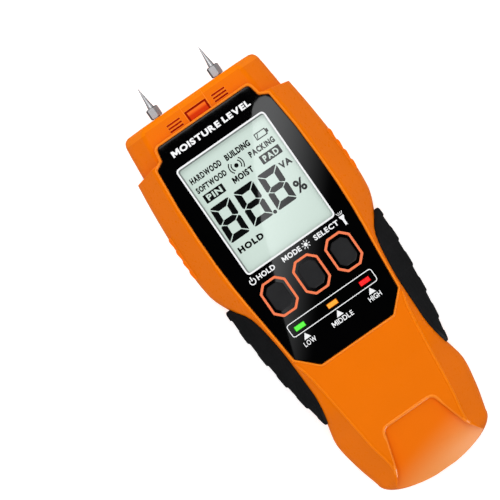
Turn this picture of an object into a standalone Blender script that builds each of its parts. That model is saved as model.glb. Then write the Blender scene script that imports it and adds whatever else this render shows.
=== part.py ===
"""A handheld moisture meter with two pins, modelled as the pieces it is assembled from.

The meter lies on its back. +X is its right side, +Y runs from its bottom end to its
pins and +Z rises out of its display. Lengths here are in millimetres, and every Y is
measured from the bottom end of the housing. The datum empty moves the whole meter so
that the part's origin is on its back face, halfway along the housing.
"""
import math

import bmesh
import bpy
from mathutils import Matrix, Vector

MM = 0.001
SHARP_ANGLE = math.radians(35)

# Driving dimensions of the assembly.
ORIGIN_Y = 85.0
GAP = 0.3
WALL = 2.2
PARTING_Z = 16.0
FRONT_Z = 32.6
PLATE_Z = 31.0
ROOF_Z = 29.4
SHOULDER_Y = 155.2
SHOULDER_HALF = 25.3
SHOULDER_SLOPE = 0.187
HEAD_TOP_Y = 170.0
CAP_TOP_Y = 193.0
CAP_PULL = 95.0

# The housing's rounded bottom end is a quarter ellipse, this long and this wide.
END_LENGTH = 9.6
END_HALF = 24.8
END_STEPS = 5
HOUSING_PITCH = 7.0
HOUSING_END_Y = 158.0

# Each profile is read as a smooth curve through its (y, value) stations.
HOUSING = {
    "side": [(9.6, 24.8), (20, 27.5), (30.5, 29.0), (40, 27.2), (52, 25.5), (66, 25.5), (80, 26.7),
             (88, 28.5), (95, 33.0), (104, 36.4), (113, 37.1), (125, 36.9), (141, 35.9), (160, 33.8)],
    "plateau": [(3, 19.8), (5, 19.2), (8, 17.7), (11.5, 16.5), (22, 18.2), (58, 22.6), (66, 24.5),
                (83, 26.3), (93, 27.3), (110, 28.5), (130, 28.5), (160, 26.4)],
    "front": [(0, 20), (3, 24.5), (8, 28), (18, 31), (30, 32.2), (45, FRONT_Z), (160, FRONT_Z)],
    "back": [(0, 5), (2, 2.2), (5, 0.4), (8, 0), (160, 0)],
    "low": [(0, 9), (12, 8), (33, 8), (46, 4.5), (86, 4.5), (100, 8), (160, 8)],
    "high": [(0, 14), (12, 16), (31, 16), (46, 28), (86, 28), (102, 16), (160, 16)],
    "floor": [(0, 4.1), (70, 4.1), (72, 2.0), (160, 2.0)],
    "roof": [(0, 4.5), (28, 4.5), (45, FRONT_Z - ROOF_Z), (160, FRONT_Z - ROOF_Z)],
}
HEAD = {
    "side": [(148, 31.5), (154, 31.4), (160, 30.9), (167.2, 30.2), (168.8, 29.6), (169.6, 28.8),
             (170, 27.8)],
    "plateau": [(148, 23.6), (166, 22.8), (170, 21.5)],
    "front": [(148, 29.6), (155, 29.5), (167.6, 28.6), (169.3, 27.7), (170, 26.8)],
    "back": [(148, 2.4), (167.8, 2.4), (169.3, 3.1), (170, 4.0)],
    "low": [(148, 8), (170, 8)],
    "high": [(148, 18), (170, 18)],
    "floor": [(148, 2.0), (170, 2.0)],
    "roof": [(148, 2.1), (170, 2.1)],
}
CAP = {
    "side": [(150, 34.9), (155, 34.5), (170, 33.0), (186.6, 30.6), (190.5, 28.0), (193, 25.2)],
    "plateau": [(150, 27.0), (186.6, 22.6), (193, 18.0)],
    "front": [(150, FRONT_Z), (160, 32.5), (186.6, 31.2), (190.5, 29.6), (193, 27.6)],
    "back": [(150, 0), (184, 0), (189, 0.8), (193, 3.4)],
    "low": [(150, 8), (193, 9)],
    "high": [(150, 16), (193, 16)],
    "floor": [(150, 1.9), (193, 1.9)],
    "roof": [(150, 2.0), (193, 2.0)],
}
BACK_EDGE_INSET = 3.5
CORNER_STEPS = 2

# The black front panel, its display window, its keys and its lights.
PANEL_TOP_Z = 32.5
PANEL_SIDE = [(66.2, 23.5), (83, 25.0), (93, 26.0), (112, 27.1), (130, 27.0), (153.4, 25.2)]
PANEL_FOOT = (16.3, 59.2)
PANEL_NECK = (21.8, 155.2)
PANEL_HEAD = (20.7, 160.5)
WINDOW_HALF = 20.05
WINDOW_Y = (101.8, 149.7)
KEY_X = {"power": -14.7, "mode": 0.0, "select": 14.65}
KEY_Y = 89.0
KEY_SIZE = (9.0, 11.7)
KEY_TOP_Z = 33.3
KEY_CHAMFER = 2.2
LIGHT_X = {"low": -14.8, "middle": 0.0, "high": 14.7}
LIGHT_Y = 75.4
LIGHT_SIZE = (4.1, 1.6)

# The rubber grips lie in the narrow waist of the housing.
GRIP_Y = (39.3, 95.3)
GRIP_OUTER = [(38.6, 27.9), (46.4, 29.7), (56.9, 31.6), (67.4, 33.0), (77.9, 34.1), (88.4, 34.8),
              (95.3, 34.9)]
GRIP_TEETH = 5
GRIP_PITCH = 10.85
GRIP_FIRST_Y = 43.3
GRIP_TOOTH = [(0.0, -0.05), (0.43, -0.2), (0.48, 0.28), (0.96, 0.1)]

# Inside: the circuit board, the battery compartment, the pins and the torch.
BOARD_Z = (22.0, 23.6)
BOARD_TOP = BOARD_Z[1] + GAP
BOARD_UNDER = BOARD_Z[0] - GAP
BOARD_SCREWS = [(-7.4, 71.8), (7.4, 71.8), (0.0, 154.5)]
CASE_SCREWS = [(-25.5, 146.0, 0.8), (25.5, 146.0, 0.8), (-11.0, 10.0, 2.5), (11.0, 10.0, 2.5)]
SCREW_HEAD_RADIUS = 2.6
SCREW_HOLE_RADIUS = 1.55
BATTERY_RADIUS = 5.2
BATTERY_LENGTH = 44.5
BATTERY_PITCH = 10.9
BATTERY_Z = 7.6
TRAY_Y = (15.6, 66.2)
TRAY_HALF = 16.9
DOOR_HALF = 19.0
DOOR_Y = (5.5, 68.0)
DOOR_DEPTH = 1.8
HEAD_AXIS_Z = 16.0
PIN_X = 13.85
PIN_BORE_RADIUS = 1.6
LENS_RADIUS = 4.0
PAD_HALF = 17.7
PAD_Y = (109.0, 145.0)
WIRE_RADIUS = 0.5
PIN_LEAD = [(13.85, 158.0, 16), (13.9, 155, 16.4), (15, 151.5, 18.4), (16, 150, 21.4)]
BATTERY_LEAD = [(8, 68.0, 10), (8, 70.5, 10.4), (9, 74.5, 14), (10, 78, 18), (10, 79, 21.4)]
TORCH_LEAD = [(0, 158.5, 16), (1, 156, 15.4), (5, 152, 15.6), (8, 148.5, 18), (9, 147, 21.4)]
SENSOR_LEAD = [(0, 128, 4.9), (0, 128.5, 9), (-3, 131, 14), (-6, 133, 18), (-7, 134, 21.4)]

# Finishes: linear colour, roughness and metallic value.
ORANGE_ABS = ((0.855, 0.188, 0.002), 0.38, 0.0)
BLACK_RUBBER = ((0.012, 0.013, 0.014), 0.62, 0.0)
BLACK_ACRYLIC = ((0.004, 0.004, 0.004), 0.08, 0.0)
KEY_RUBBER = ((0.024, 0.026, 0.027), 0.55, 0.0)
DISPLAY_GREEN = ((0.61, 0.73, 0.66), 0.12, 0.0)
DIFFUSER_WHITE = ((0.85, 0.87, 0.85), 0.4, 0.0)
GREY_PLASTIC = ((0.12, 0.12, 0.13), 0.5, 0.0)
ZEBRA_RUBBER = ((0.5, 0.5, 0.52), 0.6, 0.0)
BOARD_GREEN = ((0.01, 0.11, 0.03), 0.4, 0.0)
CHIP_BLACK = ((0.01, 0.01, 0.011), 0.45, 0.0)
STEEL = ((0.55, 0.55, 0.56), 0.28, 1.0)
BRASS = ((0.72, 0.47, 0.16), 0.3, 1.0)
COPPER = ((0.72, 0.32, 0.18), 0.32, 1.0)
CLEAR_PLASTIC = ((0.9, 0.92, 0.95), 0.05, 0.0)
BATTERY_WRAP = ((0.03, 0.08, 0.28), 0.3, 0.0)
PAD_GREY = ((0.03, 0.032, 0.035), 0.5, 0.0)
LIGHT_FINISHES = {
    "low": ((0.08, 0.8, 0.05), 0.25, 0.0),
    "middle": ((1.0, 0.38, 0.01), 0.25, 0.0),
    "high": ((0.85, 0.003, 0.005), 0.25, 0.0),
}
WIRE_RED = ((0.5, 0.01, 0.01), 0.4, 0.0)
WIRE_BLACK = ((0.01, 0.01, 0.01), 0.4, 0.0)
WIRE_WHITE = ((0.8, 0.8, 0.8), 0.4, 0.0)

# Every turned piece here has its axis along +Y or +Z.
TURN_TO_Y = (-math.pi / 2, 0, 0)


def clear_scene():
    """Removes every object, so that the model starts from nothing."""
    for obj in list(bpy.data.objects):
        bpy.data.objects.remove(obj, do_unlink=True)


def add_collection(name):
    """Makes a collection in the scene."""
    collection = bpy.data.collections.new(name)
    bpy.context.scene.collection.children.link(collection)
    return collection


def add_empty(name, y):
    """Makes an empty on the meter's long axis."""
    empty = bpy.data.objects.new(name, None)
    empty.location = (0, y * MM, 0)
    bpy.context.scene.collection.objects.link(empty)
    return empty


clear_scene()
PARTS = add_collection("moisture_meter")
CUTTERS = add_collection("cutters")
DATUM = add_empty("housing_datum", -ORIGIN_Y)


class Solid:
    """Collects closed solids, given in millimetres, in one mesh."""

    def __init__(self):
        self.bm = bmesh.new()

    def box(self, x, y, z):
        """Adds a box from its (low, high) pairs."""
        size = [(high - low) * MM for low, high in (x, y, z)]
        centre = [(high + low) / 2 * MM for low, high in (x, y, z)]
        matrix = Matrix.Translation(centre) @ Matrix.Diagonal((*size, 1))
        bmesh.ops.create_cube(self.bm, size=1, matrix=matrix)
        return self

    def rod(self, radius, start, end, sides=16):
        """Adds a cylinder, or a hexagon bar with six sides, between two points."""
        axis = Vector(end) - Vector(start)
        turn = axis.to_track_quat("Z", "Y").to_matrix().to_4x4()
        middle = (Vector(end) + Vector(start)) / 2 * MM
        bmesh.ops.create_cone(self.bm, cap_ends=True, segments=sides, radius1=radius * MM,
                              radius2=radius * MM, depth=axis.length * MM,
                              matrix=Matrix.Translation(middle) @ turn)
        return self

    def loft(self, rings):
        """Joins closed rings of points into one solid with flat ends."""
        loops = [[self.bm.verts.new(Vector(point) * MM) for point in ring] for ring in rings]
        count = len(loops[0])
        for lower, upper in zip(loops, loops[1:]):
            for i in range(count):
                following = (i + 1) % count
                self.bm.faces.new((lower[i], lower[following], upper[following], upper[i]))
        self.bm.faces.new(reversed(loops[0]))
        self.bm.faces.new(loops[-1])
        return self

    def prism(self, outline, z_low, z_high):
        """Adds an upright prism; z_low is a height, or a function of y for a sloping foot."""
        foot = z_low if callable(z_low) else lambda y: z_low
        return self.loft([[(x, y, foot(y)) for x, y in outline], [(x, y, z_high) for x, y in outline]])

    def mesh(self, name):
        """Gives the mesh, with its faces pointing out."""
        bmesh.ops.recalc_face_normals(self.bm, faces=self.bm.faces)
        mesh = bpy.data.meshes.new(name)
        self.bm.to_mesh(mesh)
        self.bm.free()
        mesh.shade_smooth()
        mesh.set_sharp_from_angle(angle=SHARP_ANGLE)
        return mesh


def add_material(name, finish):
    """Makes a Principled material from a colour, a roughness and a metallic value."""
    colour, roughness, metallic = finish
    material = bpy.data.materials.new(name)
    material.use_nodes = True
    shader = material.node_tree.nodes["Principled BSDF"]
    shader.inputs["Base Color"].default_value = (*colour, 1)
    shader.inputs["Roughness"].default_value = roughness
    shader.inputs["Metallic"].default_value = metallic
    return material


def add_data(name, data, finish, location=(0, 0, 0), rotation=(0, 0, 0)):
    """Makes a part's object on the datum from its mesh or curve."""
    part = bpy.data.objects.new(name, data)
    PARTS.objects.link(part)
    part.parent = DATUM
    part.location = Vector(location) * MM
    part.rotation_euler = rotation
    data.materials.append(add_material(f"{name}_finish", finish))
    return part


def add_part(name, solid, finish, location=(0, 0, 0)):
    """Makes a part from a solid."""
    return add_data(name, solid.mesh(name), finish, location)


def combine(part, name, solid, operation):
    """Cuts a part by a solid or joins them, with a Boolean."""
    tool = bpy.data.objects.new(name, solid.mesh(name))
    CUTTERS.objects.link(tool)
    tool.parent = DATUM
    tool.hide_render = True
    tool.display_type = "WIRE"
    modifier = part.modifiers.new(name, "BOOLEAN")
    modifier.operation = operation
    modifier.object = tool


def cut(part, name, solid):
    """Cuts a solid out of a part."""
    combine(part, name, solid, "DIFFERENCE")


def join(part, name, solid):
    """Joins a solid to a part."""
    combine(part, name, solid, "UNION")


def turned(name, profile, finish, location, rotation=(0, 0, 0), steps=16):
    """Turns a (radius, height) profile, which runs down its outer side, about its axis."""
    mesh = bpy.data.meshes.new(name)
    points = [(radius * MM, 0, height * MM) for radius, height in profile]
    mesh.from_pydata(points, [(i, i + 1) for i in range(len(points) - 1)], [])
    part = add_data(name, mesh, finish, location, rotation)
    screw = part.modifiers.new("Turn", "SCREW")
    screw.steps = steps
    screw.render_steps = steps
    screw.use_merge_vertices = True
    screw.merge_threshold = 0.00001
    screw.use_smooth_shade = True
    return part


def wire(name, points, radius, finish):
    """Runs a round wire through its points."""
    curve = bpy.data.curves.new(name, "CURVE")
    curve.dimensions = "3D"
    curve.bevel_depth = radius * MM
    curve.bevel_resolution = 2
    curve.render_resolution_u = 0
    curve.use_fill_caps = True
    spline = curve.splines.new("POLY")
    spline.points.add(len(points) - 1)
    for slot, point in zip(spline.points, points):
        slot.co = (*(Vector(point) * MM), 1)
    return add_data(name, curve, finish)


def smooth(stations, at):
    """Reads a smooth curve through (position, value) stations, with no overshoot."""
    if at <= stations[0][0]:
        return stations[0][1]
    if at >= stations[-1][0]:
        return stations[-1][1]
    rises = [(b[1] - a[1]) / (b[0] - a[0]) for a, b in zip(stations, stations[1:])]
    slopes = [rises[0]]
    for before, after in zip(rises, rises[1:]):
        same_way = before * after > 0
        slopes.append(2 * before * after / (before + after) if same_way else 0.0)
    slopes.append(rises[-1])
    i = max(k for k, station in enumerate(stations[:-1]) if station[0] <= at)
    (start, low), (end, high) = stations[i], stations[i + 1]
    span = end - start
    t = (at - start) / span
    ends = low * (1 + 2 * t) * (1 - t) ** 2 + high * t * t * (3 - 2 * t)
    return ends + span * (slopes[i] * t * (1 - t) ** 2 - slopes[i + 1] * t * t * (1 - t))


def round_corners(corners, steps=CORNER_STEPS):
    """Rounds each (a, b, reach) corner of a closed outline with a short curve."""
    outline = []
    for i, (a, b, reach) in enumerate(corners):
        corner = Vector((a, b))
        back = Vector(corners[i - 1][:2]) - corner
        ahead = Vector(corners[(i + 1) % len(corners)][:2]) - corner
        start = corner + back.normalized() * min(reach, back.length * 0.45)
        end = corner + ahead.normalized() * min(reach, ahead.length * 0.45)
        for step in range(steps + 1):
            t = step / steps
            outline.append(tuple(start * (1 - t) ** 2 + corner * 2 * t * (1 - t) + end * t * t))
    return outline


def half_width(shape, y):
    """Gives the greatest half-width of a shell at y, with the rounded end of the housing."""
    if y >= END_LENGTH:
        return smooth(shape["side"], y)
    return END_HALF * math.sqrt(1 - ((END_LENGTH - y) / END_LENGTH) ** 2)


def shell_ring(shape, y, inset=0.0, hollow=False):
    """Gives a shell's cross-section at y: flat back, upright sides and a front plateau."""
    side = half_width(shape, y)
    back_half = max(side - BACK_EDGE_INSET, side * 0.35)
    plateau = min(smooth(shape["plateau"], y), side * 0.9 if y < END_LENGTH else side - 0.6)
    back = smooth(shape["back"], y)
    front = smooth(shape["front"], y)
    low = smooth(shape["low"], y)
    high = smooth(shape["high"], y)
    if hollow:
        back += smooth(shape["floor"], y)
        front -= smooth(shape["roof"], y)
        low = max(low, back + 2.5)
        high = min(high, front - 1.0)
        back_half -= 0.8 * inset
        plateau -= 0.5 * inset
    else:
        plateau -= inset
        back_half -= inset
    side -= inset
    right = [(back_half, back, 3.0), (side, low, 4.0), (side, high, 4.0), (plateau, front, 1.6)]
    left = [(-x, z, reach) for x, z, reach in reversed(right)]
    return [(x, y, z) for x, z in round_corners(right + left)]


def spread(start, end, pitch):
    """Gives evenly spaced stations from start to end, about a pitch apart."""
    count = max(1, round((end - start) / pitch))
    return [start + (end - start) * i / count for i in range(count + 1)]


def housing_stations():
    """Gives the housing's stations: close together round its bottom end, then even."""
    angles = [math.radians(12 + 78 * i / END_STEPS) for i in range(END_STEPS)]
    end = [END_LENGTH * (1 - math.cos(angle)) for angle in angles]
    return end + spread(END_LENGTH, HOUSING_END_Y, HOUSING_PITCH)


def head_stations():
    """Gives the head's stations, close together at its rounded top edge."""
    return [148, 154, 160, 167.2, 168.2, 169.0, 169.6, HEAD_TOP_Y]


def shoulder_outline(shift, beyond):
    """Gives the plan of all that lies beyond the shoulder line, or of all that lies before it."""
    drop = SHOULDER_SLOPE * (40 - SHOULDER_HALF)
    line = [(-40, SHOULDER_Y - drop), (-SHOULDER_HALF, SHOULDER_Y), (SHOULDER_HALF, SHOULDER_Y),
            (40, SHOULDER_Y - drop)]
    line = [(x, y + shift) for x, y in line]
    far = 200 if beyond else 140
    return line + [(40, far), (-40, far)]


def panel_outline(offset):
    """Gives the plan of the front panel, grown by an offset."""
    right = [(PANEL_FOOT[0] + offset * 0.4, PANEL_FOOT[1] - offset, 0.6)]
    right += [(smooth(PANEL_SIDE, y) + offset, y, 0.6) for y in (66.2, 74, 83, 93, 102, 112, 124, 138)]
    right += [(PANEL_SIDE[-1][1] + offset, PANEL_SIDE[-1][0] + offset, 0.6)]
    right += [(PANEL_NECK[0] + offset, PANEL_NECK[1] + offset, 0.6)]
    right += [(PANEL_HEAD[0] + offset, PANEL_HEAD[1] + offset, 1.6)]
    left = [(-x, y, reach) for x, y, reach in reversed(right)]
    return round_corners(right + left)


def chamfered(width, height, chamfer, centre=(0.0, 0.0)):
    """Gives a rectangle with its four corners cut off."""
    a, b = width / 2, height / 2
    corners = [(a, chamfer - b), (a, b - chamfer), (a - chamfer, b), (chamfer - a, b),
               (-a, b - chamfer), (-a, chamfer - b), (chamfer - a, -b), (a - chamfer, -b)]
    return [(centre[0] + x, centre[1] + y) for x, y in corners]


def rectangle(width, height, centre=(0.0, 0.0), reach=0.0):
    """Gives a rectangle, with rounded corners where it has a reach."""
    a, b = width / 2, height / 2
    corners = [(a, -b), (a, b), (-a, b), (-a, -b)]
    corners = [(centre[0] + x, centre[1] + y) for x, y in corners]
    if reach:
        return round_corners([(x, y, reach) for x, y in corners])
    return corners


def key_openings(clearance, z):
    """Gives the openings for the three keys."""
    solid = Solid()
    width, height = (size + 2 * clearance for size in KEY_SIZE)
    for x in KEY_X.values():
        solid.prism(chamfered(width, height, KEY_CHAMFER, (x, KEY_Y)), *z)
    return solid


def light_openings(clearance, z):
    """Gives the openings for the three lights."""
    solid = Solid()
    width, height = (size + 2 * clearance for size in LIGHT_SIZE)
    for x in LIGHT_X.values():
        solid.prism(rectangle(width, height, (x, LIGHT_Y)), *z)
    return solid


def head_bores():
    """Gives the bores through the top of the head for the pin sockets and the torch."""
    solid = Solid().rod(LENS_RADIUS + GAP, (0, 166, HEAD_AXIS_Z), (0, 172, HEAD_AXIS_Z))
    for x in (-PIN_X, PIN_X):
        solid.rod(2.8, (x, 166, HEAD_AXIS_Z), (x, 172, HEAD_AXIS_Z))
    return solid


def thumb_ribs():
    """Gives the four low ribs on each side of the housing, beside the display."""
    solid = Solid()
    for sign in (-1, 1):
        for y in (114.2, 118.6, 123.2, 127.9):
            edge = half_width(HOUSING, y) + 0.35
            x = sorted((sign * (edge - 2.0), sign * edge))
            solid.box(x, (y - 0.7, y + 0.7), (9, 17.5))
    return solid


def hollow_housing(part):
    """Shapes a housing half: shoulder, ribs, head and the hollow inside."""
    join(part, f"{part.name}_ribs", thumb_ribs())
    cut(part, f"{part.name}_shoulder", Solid().prism(shoulder_outline(0, True), -1, 40))
    head = Solid().loft([shell_ring(HEAD, y) for y in head_stations()])
    join(part, f"{part.name}_head", head)
    cavity = [shell_ring(HOUSING, y, WALL, True) for y in [3.4, 5.2, 7.4] + spread(END_LENGTH, 152, 10)]
    cut(part, f"{part.name}_cavity", Solid().loft(cavity))
    cavity = [shell_ring(HEAD, y, WALL, True) for y in (149, 154, 160, 166, 168)]
    cut(part, f"{part.name}_head_cavity", Solid().loft(cavity))
    cut(part, f"{part.name}_bores", head_bores())


def housing_solid():
    """Gives the housing's outer form below the head."""
    return Solid().loft([shell_ring(HOUSING, y) for y in housing_stations()])


def make_front_shell():
    """The front half: panel recess, openings, thumb facet, head details and screw bosses."""
    shell = add_part("front_shell", housing_solid(), ORANGE_ABS)
    hollow_housing(shell)
    cut(shell, "front_parting", Solid().box((-50, 50), (-10, 200), (-10, PARTING_Z + GAP / 2)))
    tongue = round_corners([(-21.8, 161.5, 2.2), (-22.9, 155.6, 0.5), (-22.9, 151.6, 0), (22.9, 151.6, 0),
                            (22.9, 155.6, 0.5), (21.8, 161.5, 2.2)])
    join(shell, "front_tongue", Solid().prism(tongue, 27.9, FRONT_Z))
    cut(shell, "front_panel_recess", Solid().prism(panel_outline(0.2), PLATE_Z, 40))
    window = rectangle(42.8, 50.8, (0, 125.8), 1.0)
    cut(shell, "front_window", Solid().prism(window, 26, 36))
    cut(shell, "front_key_openings", key_openings(0.3, (26, 36)))
    cut(shell, "front_light_openings", light_openings(0.25, (26, 36)))
    facet = round_corners([(11.3, 26.4, 2.5), (-11.3, 26.4, 2.5), (-16.2, 10.5, 2), (-22.5, -2, 0),
                           (22.5, -2, 0), (16.2, 10.5, 2)])
    cut(shell, "front_thumb_facet", Solid().prism(facet, lambda y: 23.3 + 0.308 * y, 45))
    cut(shell, "front_head_marks", head_marks())
    bosses = Solid()
    holes = Solid()
    for x, y in BOARD_SCREWS:
        bosses.rod(2.8, (x, y, BOARD_TOP), (x, y, 30.2))
        holes.rod(SCREW_HOLE_RADIUS, (x, y, 20), (x, y, 28.9))
    for x, y, _ in CASE_SCREWS:
        top = 29.8 if y > 100 else 25.0
        bosses.rod(2.6, (x, y, PARTING_Z + GAP / 2), (x, y, top))
        holes.rod(SCREW_HOLE_RADIUS, (x, y, 10), (x, y, 23.0))
    join(shell, "front_bosses", bosses)
    cut(shell, "front_screw_holes", holes)


def head_marks():
    """Gives the grooves on the head's front and the channel round its centre block."""
    solid = Solid()
    for sign in (-1, 1):
        for y in (162.5, 163.8, 165.1):
            solid.box(sorted((sign * 7.2, sign * 13.1)), (y - 0.28, y + 0.28), (28.3, 33))
    channel = [(-4.8, 162.2), (-4.0, 162.2), (-4.0, 165.0), (4.0, 165.0), (4.0, 162.2), (4.8, 162.2),
               (4.8, 165.8), (-4.8, 165.8)]
    return solid.prism(channel, 27.9, 33)


def make_back_shell():
    """The back half: battery opening, door track, pad opening and screw bosses."""
    shell = add_part("back_shell", housing_solid(), ORANGE_ABS)
    hollow_housing(shell)
    cut(shell, "back_parting", Solid().box((-50, 50), (-10, 200), (PARTING_Z - GAP / 2, 60)))
    bosses = Solid()
    holes = Solid()
    for x, y, head_z in CASE_SCREWS:
        bosses.rod(4.0, (x, y, head_z + 0.7), (x, y, PARTING_Z - GAP / 2))
        holes.rod(SCREW_HOLE_RADIUS, (x, y, head_z + 1.0), (x, y, PARTING_Z + 5))
    join(shell, "back_bosses", bosses)
    cut(shell, "back_screw_holes", holes)
    seats = Solid()
    for x, y, head_z in CASE_SCREWS:
        seats.rod(SCREW_HEAD_RADIUS + GAP, (x, y, -3), (x, y, head_z + 1.9))
    cut(shell, "back_screw_seats", seats)
    track = rectangle(2 * (DOOR_HALF + GAP), DOOR_Y[1] + GAP + 6, (0, (DOOR_Y[1] + GAP - 6) / 2))
    cut(shell, "back_door_track", Solid().prism(track, -5, DOOR_DEPTH + GAP))
    opening = rectangle(2 * TRAY_HALF, TRAY_Y[1] - TRAY_Y[0] - 0.4, (0, sum(TRAY_Y) / 2))
    cut(shell, "back_battery_opening", Solid().prism(opening, -5, 8))
    pad = rectangle(2 * (PAD_HALF + GAP), PAD_Y[1] - PAD_Y[0] + 2 * GAP, (0, sum(PAD_Y) / 2), 3)
    cut(shell, "back_pad_opening", Solid().prism(pad, -5, 8))


def grip_ring(sign, y, rise):
    """Gives a grip's cross-section at y, before the housing is cut out of it."""
    outer = smooth(GRIP_OUTER, y) + rise
    high = smooth(HOUSING["high"], y) - 0.4
    edge = min(half_width(HOUSING, y) + 1.0, outer - 0.3)
    corners = [(18, 3.2, 0), (outer - 3.2, 3.2, 2.0), (outer, 8, 2.5), (outer, min(18, high - 1.5), 3),
               (edge, high, 1.0), (18, high, 0)]
    return [(sign * x, y, z) for x, z in round_corners(corners)]


def make_grip(name, sign):
    """A rubber grip, with a saw-tooth edge that holds the hand."""
    rings = [grip_ring(sign, GRIP_Y[0], 0.2), grip_ring(sign, GRIP_FIRST_Y - 0.4, 0.1)]
    for tooth in range(GRIP_TEETH):
        for part, rise in GRIP_TOOTH:
            y = min(GRIP_FIRST_Y + (tooth + part) * GRIP_PITCH, GRIP_Y[1])
            rings.append(grip_ring(sign, y, rise))
    grip = add_part(name, Solid().loft(rings), BLACK_RUBBER)
    waist = [shell_ring(HOUSING, y, -GAP) for y in housing_stations() if 30 < y < 106]
    cut(grip, f"{name}_bed", Solid().loft(waist))


def make_front_panel():
    """The black panel that carries the prints, with openings for display, keys and lights."""
    plate = Solid().prism(panel_outline(0), PLATE_Z + GAP, PANEL_TOP_Z)
    panel = add_part("front_panel", plate, BLACK_ACRYLIC)
    height = WINDOW_Y[1] - WINDOW_Y[0]
    window = rectangle(2 * WINDOW_HALF, height, (0, sum(WINDOW_Y) / 2), 1.3)
    cut(panel, "panel_window", Solid().prism(window, 28, 36))
    cut(panel, "panel_key_openings", key_openings(0.25, (28, 36)))
    cut(panel, "panel_light_openings", light_openings(0.2, (28, 36)))


def make_display():
    """The display stack: glass, backlight, frame and the strip that joins it to the board."""
    glass = Solid().box((-21.0, 21.0), (100.8, 150.8), (29.9, PLATE_Z))
    add_part("display_glass", glass, DISPLAY_GREEN)
    add_part("display_backlight", Solid().box((-20, 20), (103.4, 149.4), (28.0, 29.6)), DIFFUSER_WHITE)
    frame = Solid().box((-21.6, 21.6), (100.5, 151.1), (BOARD_TOP, 29.1))
    frame = add_part("display_frame", frame, GREY_PLASTIC)
    cut(frame, "frame_opening", Solid().box((-20.4, 20.4), (101.5, 149.8), (20, 33)))
    add_part("zebra_strip", Solid().box((-18.5, 18.5), (101.8, 103.1), (BOARD_TOP, 29.6)), ZEBRA_RUBBER)


def make_key(name, x):
    """A rubber key with the flange that keeps it under the front shell."""
    width, height = KEY_SIZE
    steps = [(28.0, 2.0), (29.1, 2.0), (29.1, 0.0), (KEY_TOP_Z - 0.5, 0.0), (KEY_TOP_Z - 0.12, -0.5),
             (KEY_TOP_Z, -1.6)]
    rings = []
    for z, grow in steps:
        outline = chamfered(width + grow, height + grow, KEY_CHAMFER + 0.3 * grow)
        rings.append([(a, b, z - KEY_TOP_Z) for a, b in outline])
    add_part(f"key_{name}", Solid().loft(rings), KEY_RUBBER, (x, KEY_Y, KEY_TOP_Z))
    switch = Solid().box((x - 3, x + 3), (KEY_Y - 3, KEY_Y + 3), (BOARD_TOP, 26.0))
    switch = add_part(f"switch_{name}", switch, CHIP_BLACK)
    join(switch, f"switch_{name}_plunger", Solid().rod(1.7, (x, KEY_Y, 25), (x, KEY_Y, 26.9), 16))


def make_light(name, x):
    """A level light: a coloured pipe with a wider foot on the board."""
    width, height = LIGHT_SIZE
    steps = [(BOARD_TOP, 1.1), (28.9, 1.1), (28.9, 0.0), (PANEL_TOP_Z, 0.0)]
    rings = [[(a, b, z) for a, b in rectangle(width + g, height + g, (x, LIGHT_Y))] for z, g in steps]
    add_part(f"light_{name}", Solid().loft(rings), LIGHT_FINISHES[name])


def make_board():
    """The circuit board with its controller and its buzzer on the underside."""
    board = add_part("main_board", Solid().box((-22.5, 22.5), (69, 157), BOARD_Z), BOARD_GREEN)
    holes = Solid()
    for x, y in BOARD_SCREWS:
        holes.rod(SCREW_HOLE_RADIUS, (x, y, 15), (x, y, 30))
    cut(board, "board_holes", holes)
    add_part("controller_chip", Solid().box((-14, -2), (112, 124), (20.1, BOARD_UNDER)), CHIP_BLACK)
    height = 6.2
    profile = [(0, height), (1.2, height), (1.2, height - 0.8), (2.2, height - 0.8), (2.2, height),
               (5.4, height), (6.0, height - 0.6), (6.0, 0), (0, 0)]
    turned("buzzer", profile, CHIP_BLACK, (12, 128, BOARD_UNDER), (math.pi, 0, 0))


def screw_cross(x, y, z_low, z_high):
    """Gives the cross recess of a screw head."""
    a, b = 1.4, 0.35
    outline = [(a, -b), (a, b), (b, b), (b, a), (-b, a), (-b, b), (-a, b), (-a, -b), (-b, -b), (-b, -a),
               (b, -a), (b, -b)]
    return Solid().prism([(x + u, y + v) for u, v in outline], z_low, z_high)


def make_screw(name, x, y, head_z, head_height, tip_z):
    """A pan-head screw that stands upright, with its head at the bottom."""
    length = tip_z - head_z
    profile = [(0, length), (0.6, length - 0.1), (1.25, length - 0.9), (1.25, head_height),
               (SCREW_HEAD_RADIUS - 0.2, head_height), (SCREW_HEAD_RADIUS, head_height - 0.3),
               (SCREW_HEAD_RADIUS, 0.6), (1.9, 0), (0, 0)]
    screw = turned(name, profile, STEEL, (x, y, head_z), steps=12)
    cut(screw, f"{name}_cross", screw_cross(x, y, head_z - 1, head_z + 0.9))


def make_screws():
    """The four screws of the housing and the three of the board."""
    for number, (x, y, head_z) in enumerate(CASE_SCREWS, 1):
        make_screw(f"case_screw_{number}", x, y, head_z, 1.6, 22.4)
    for number, (x, y) in enumerate(BOARD_SCREWS, 1):
        make_screw(f"board_screw_{number}", x, y, 20.1, 1.6, 28.2)


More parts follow.
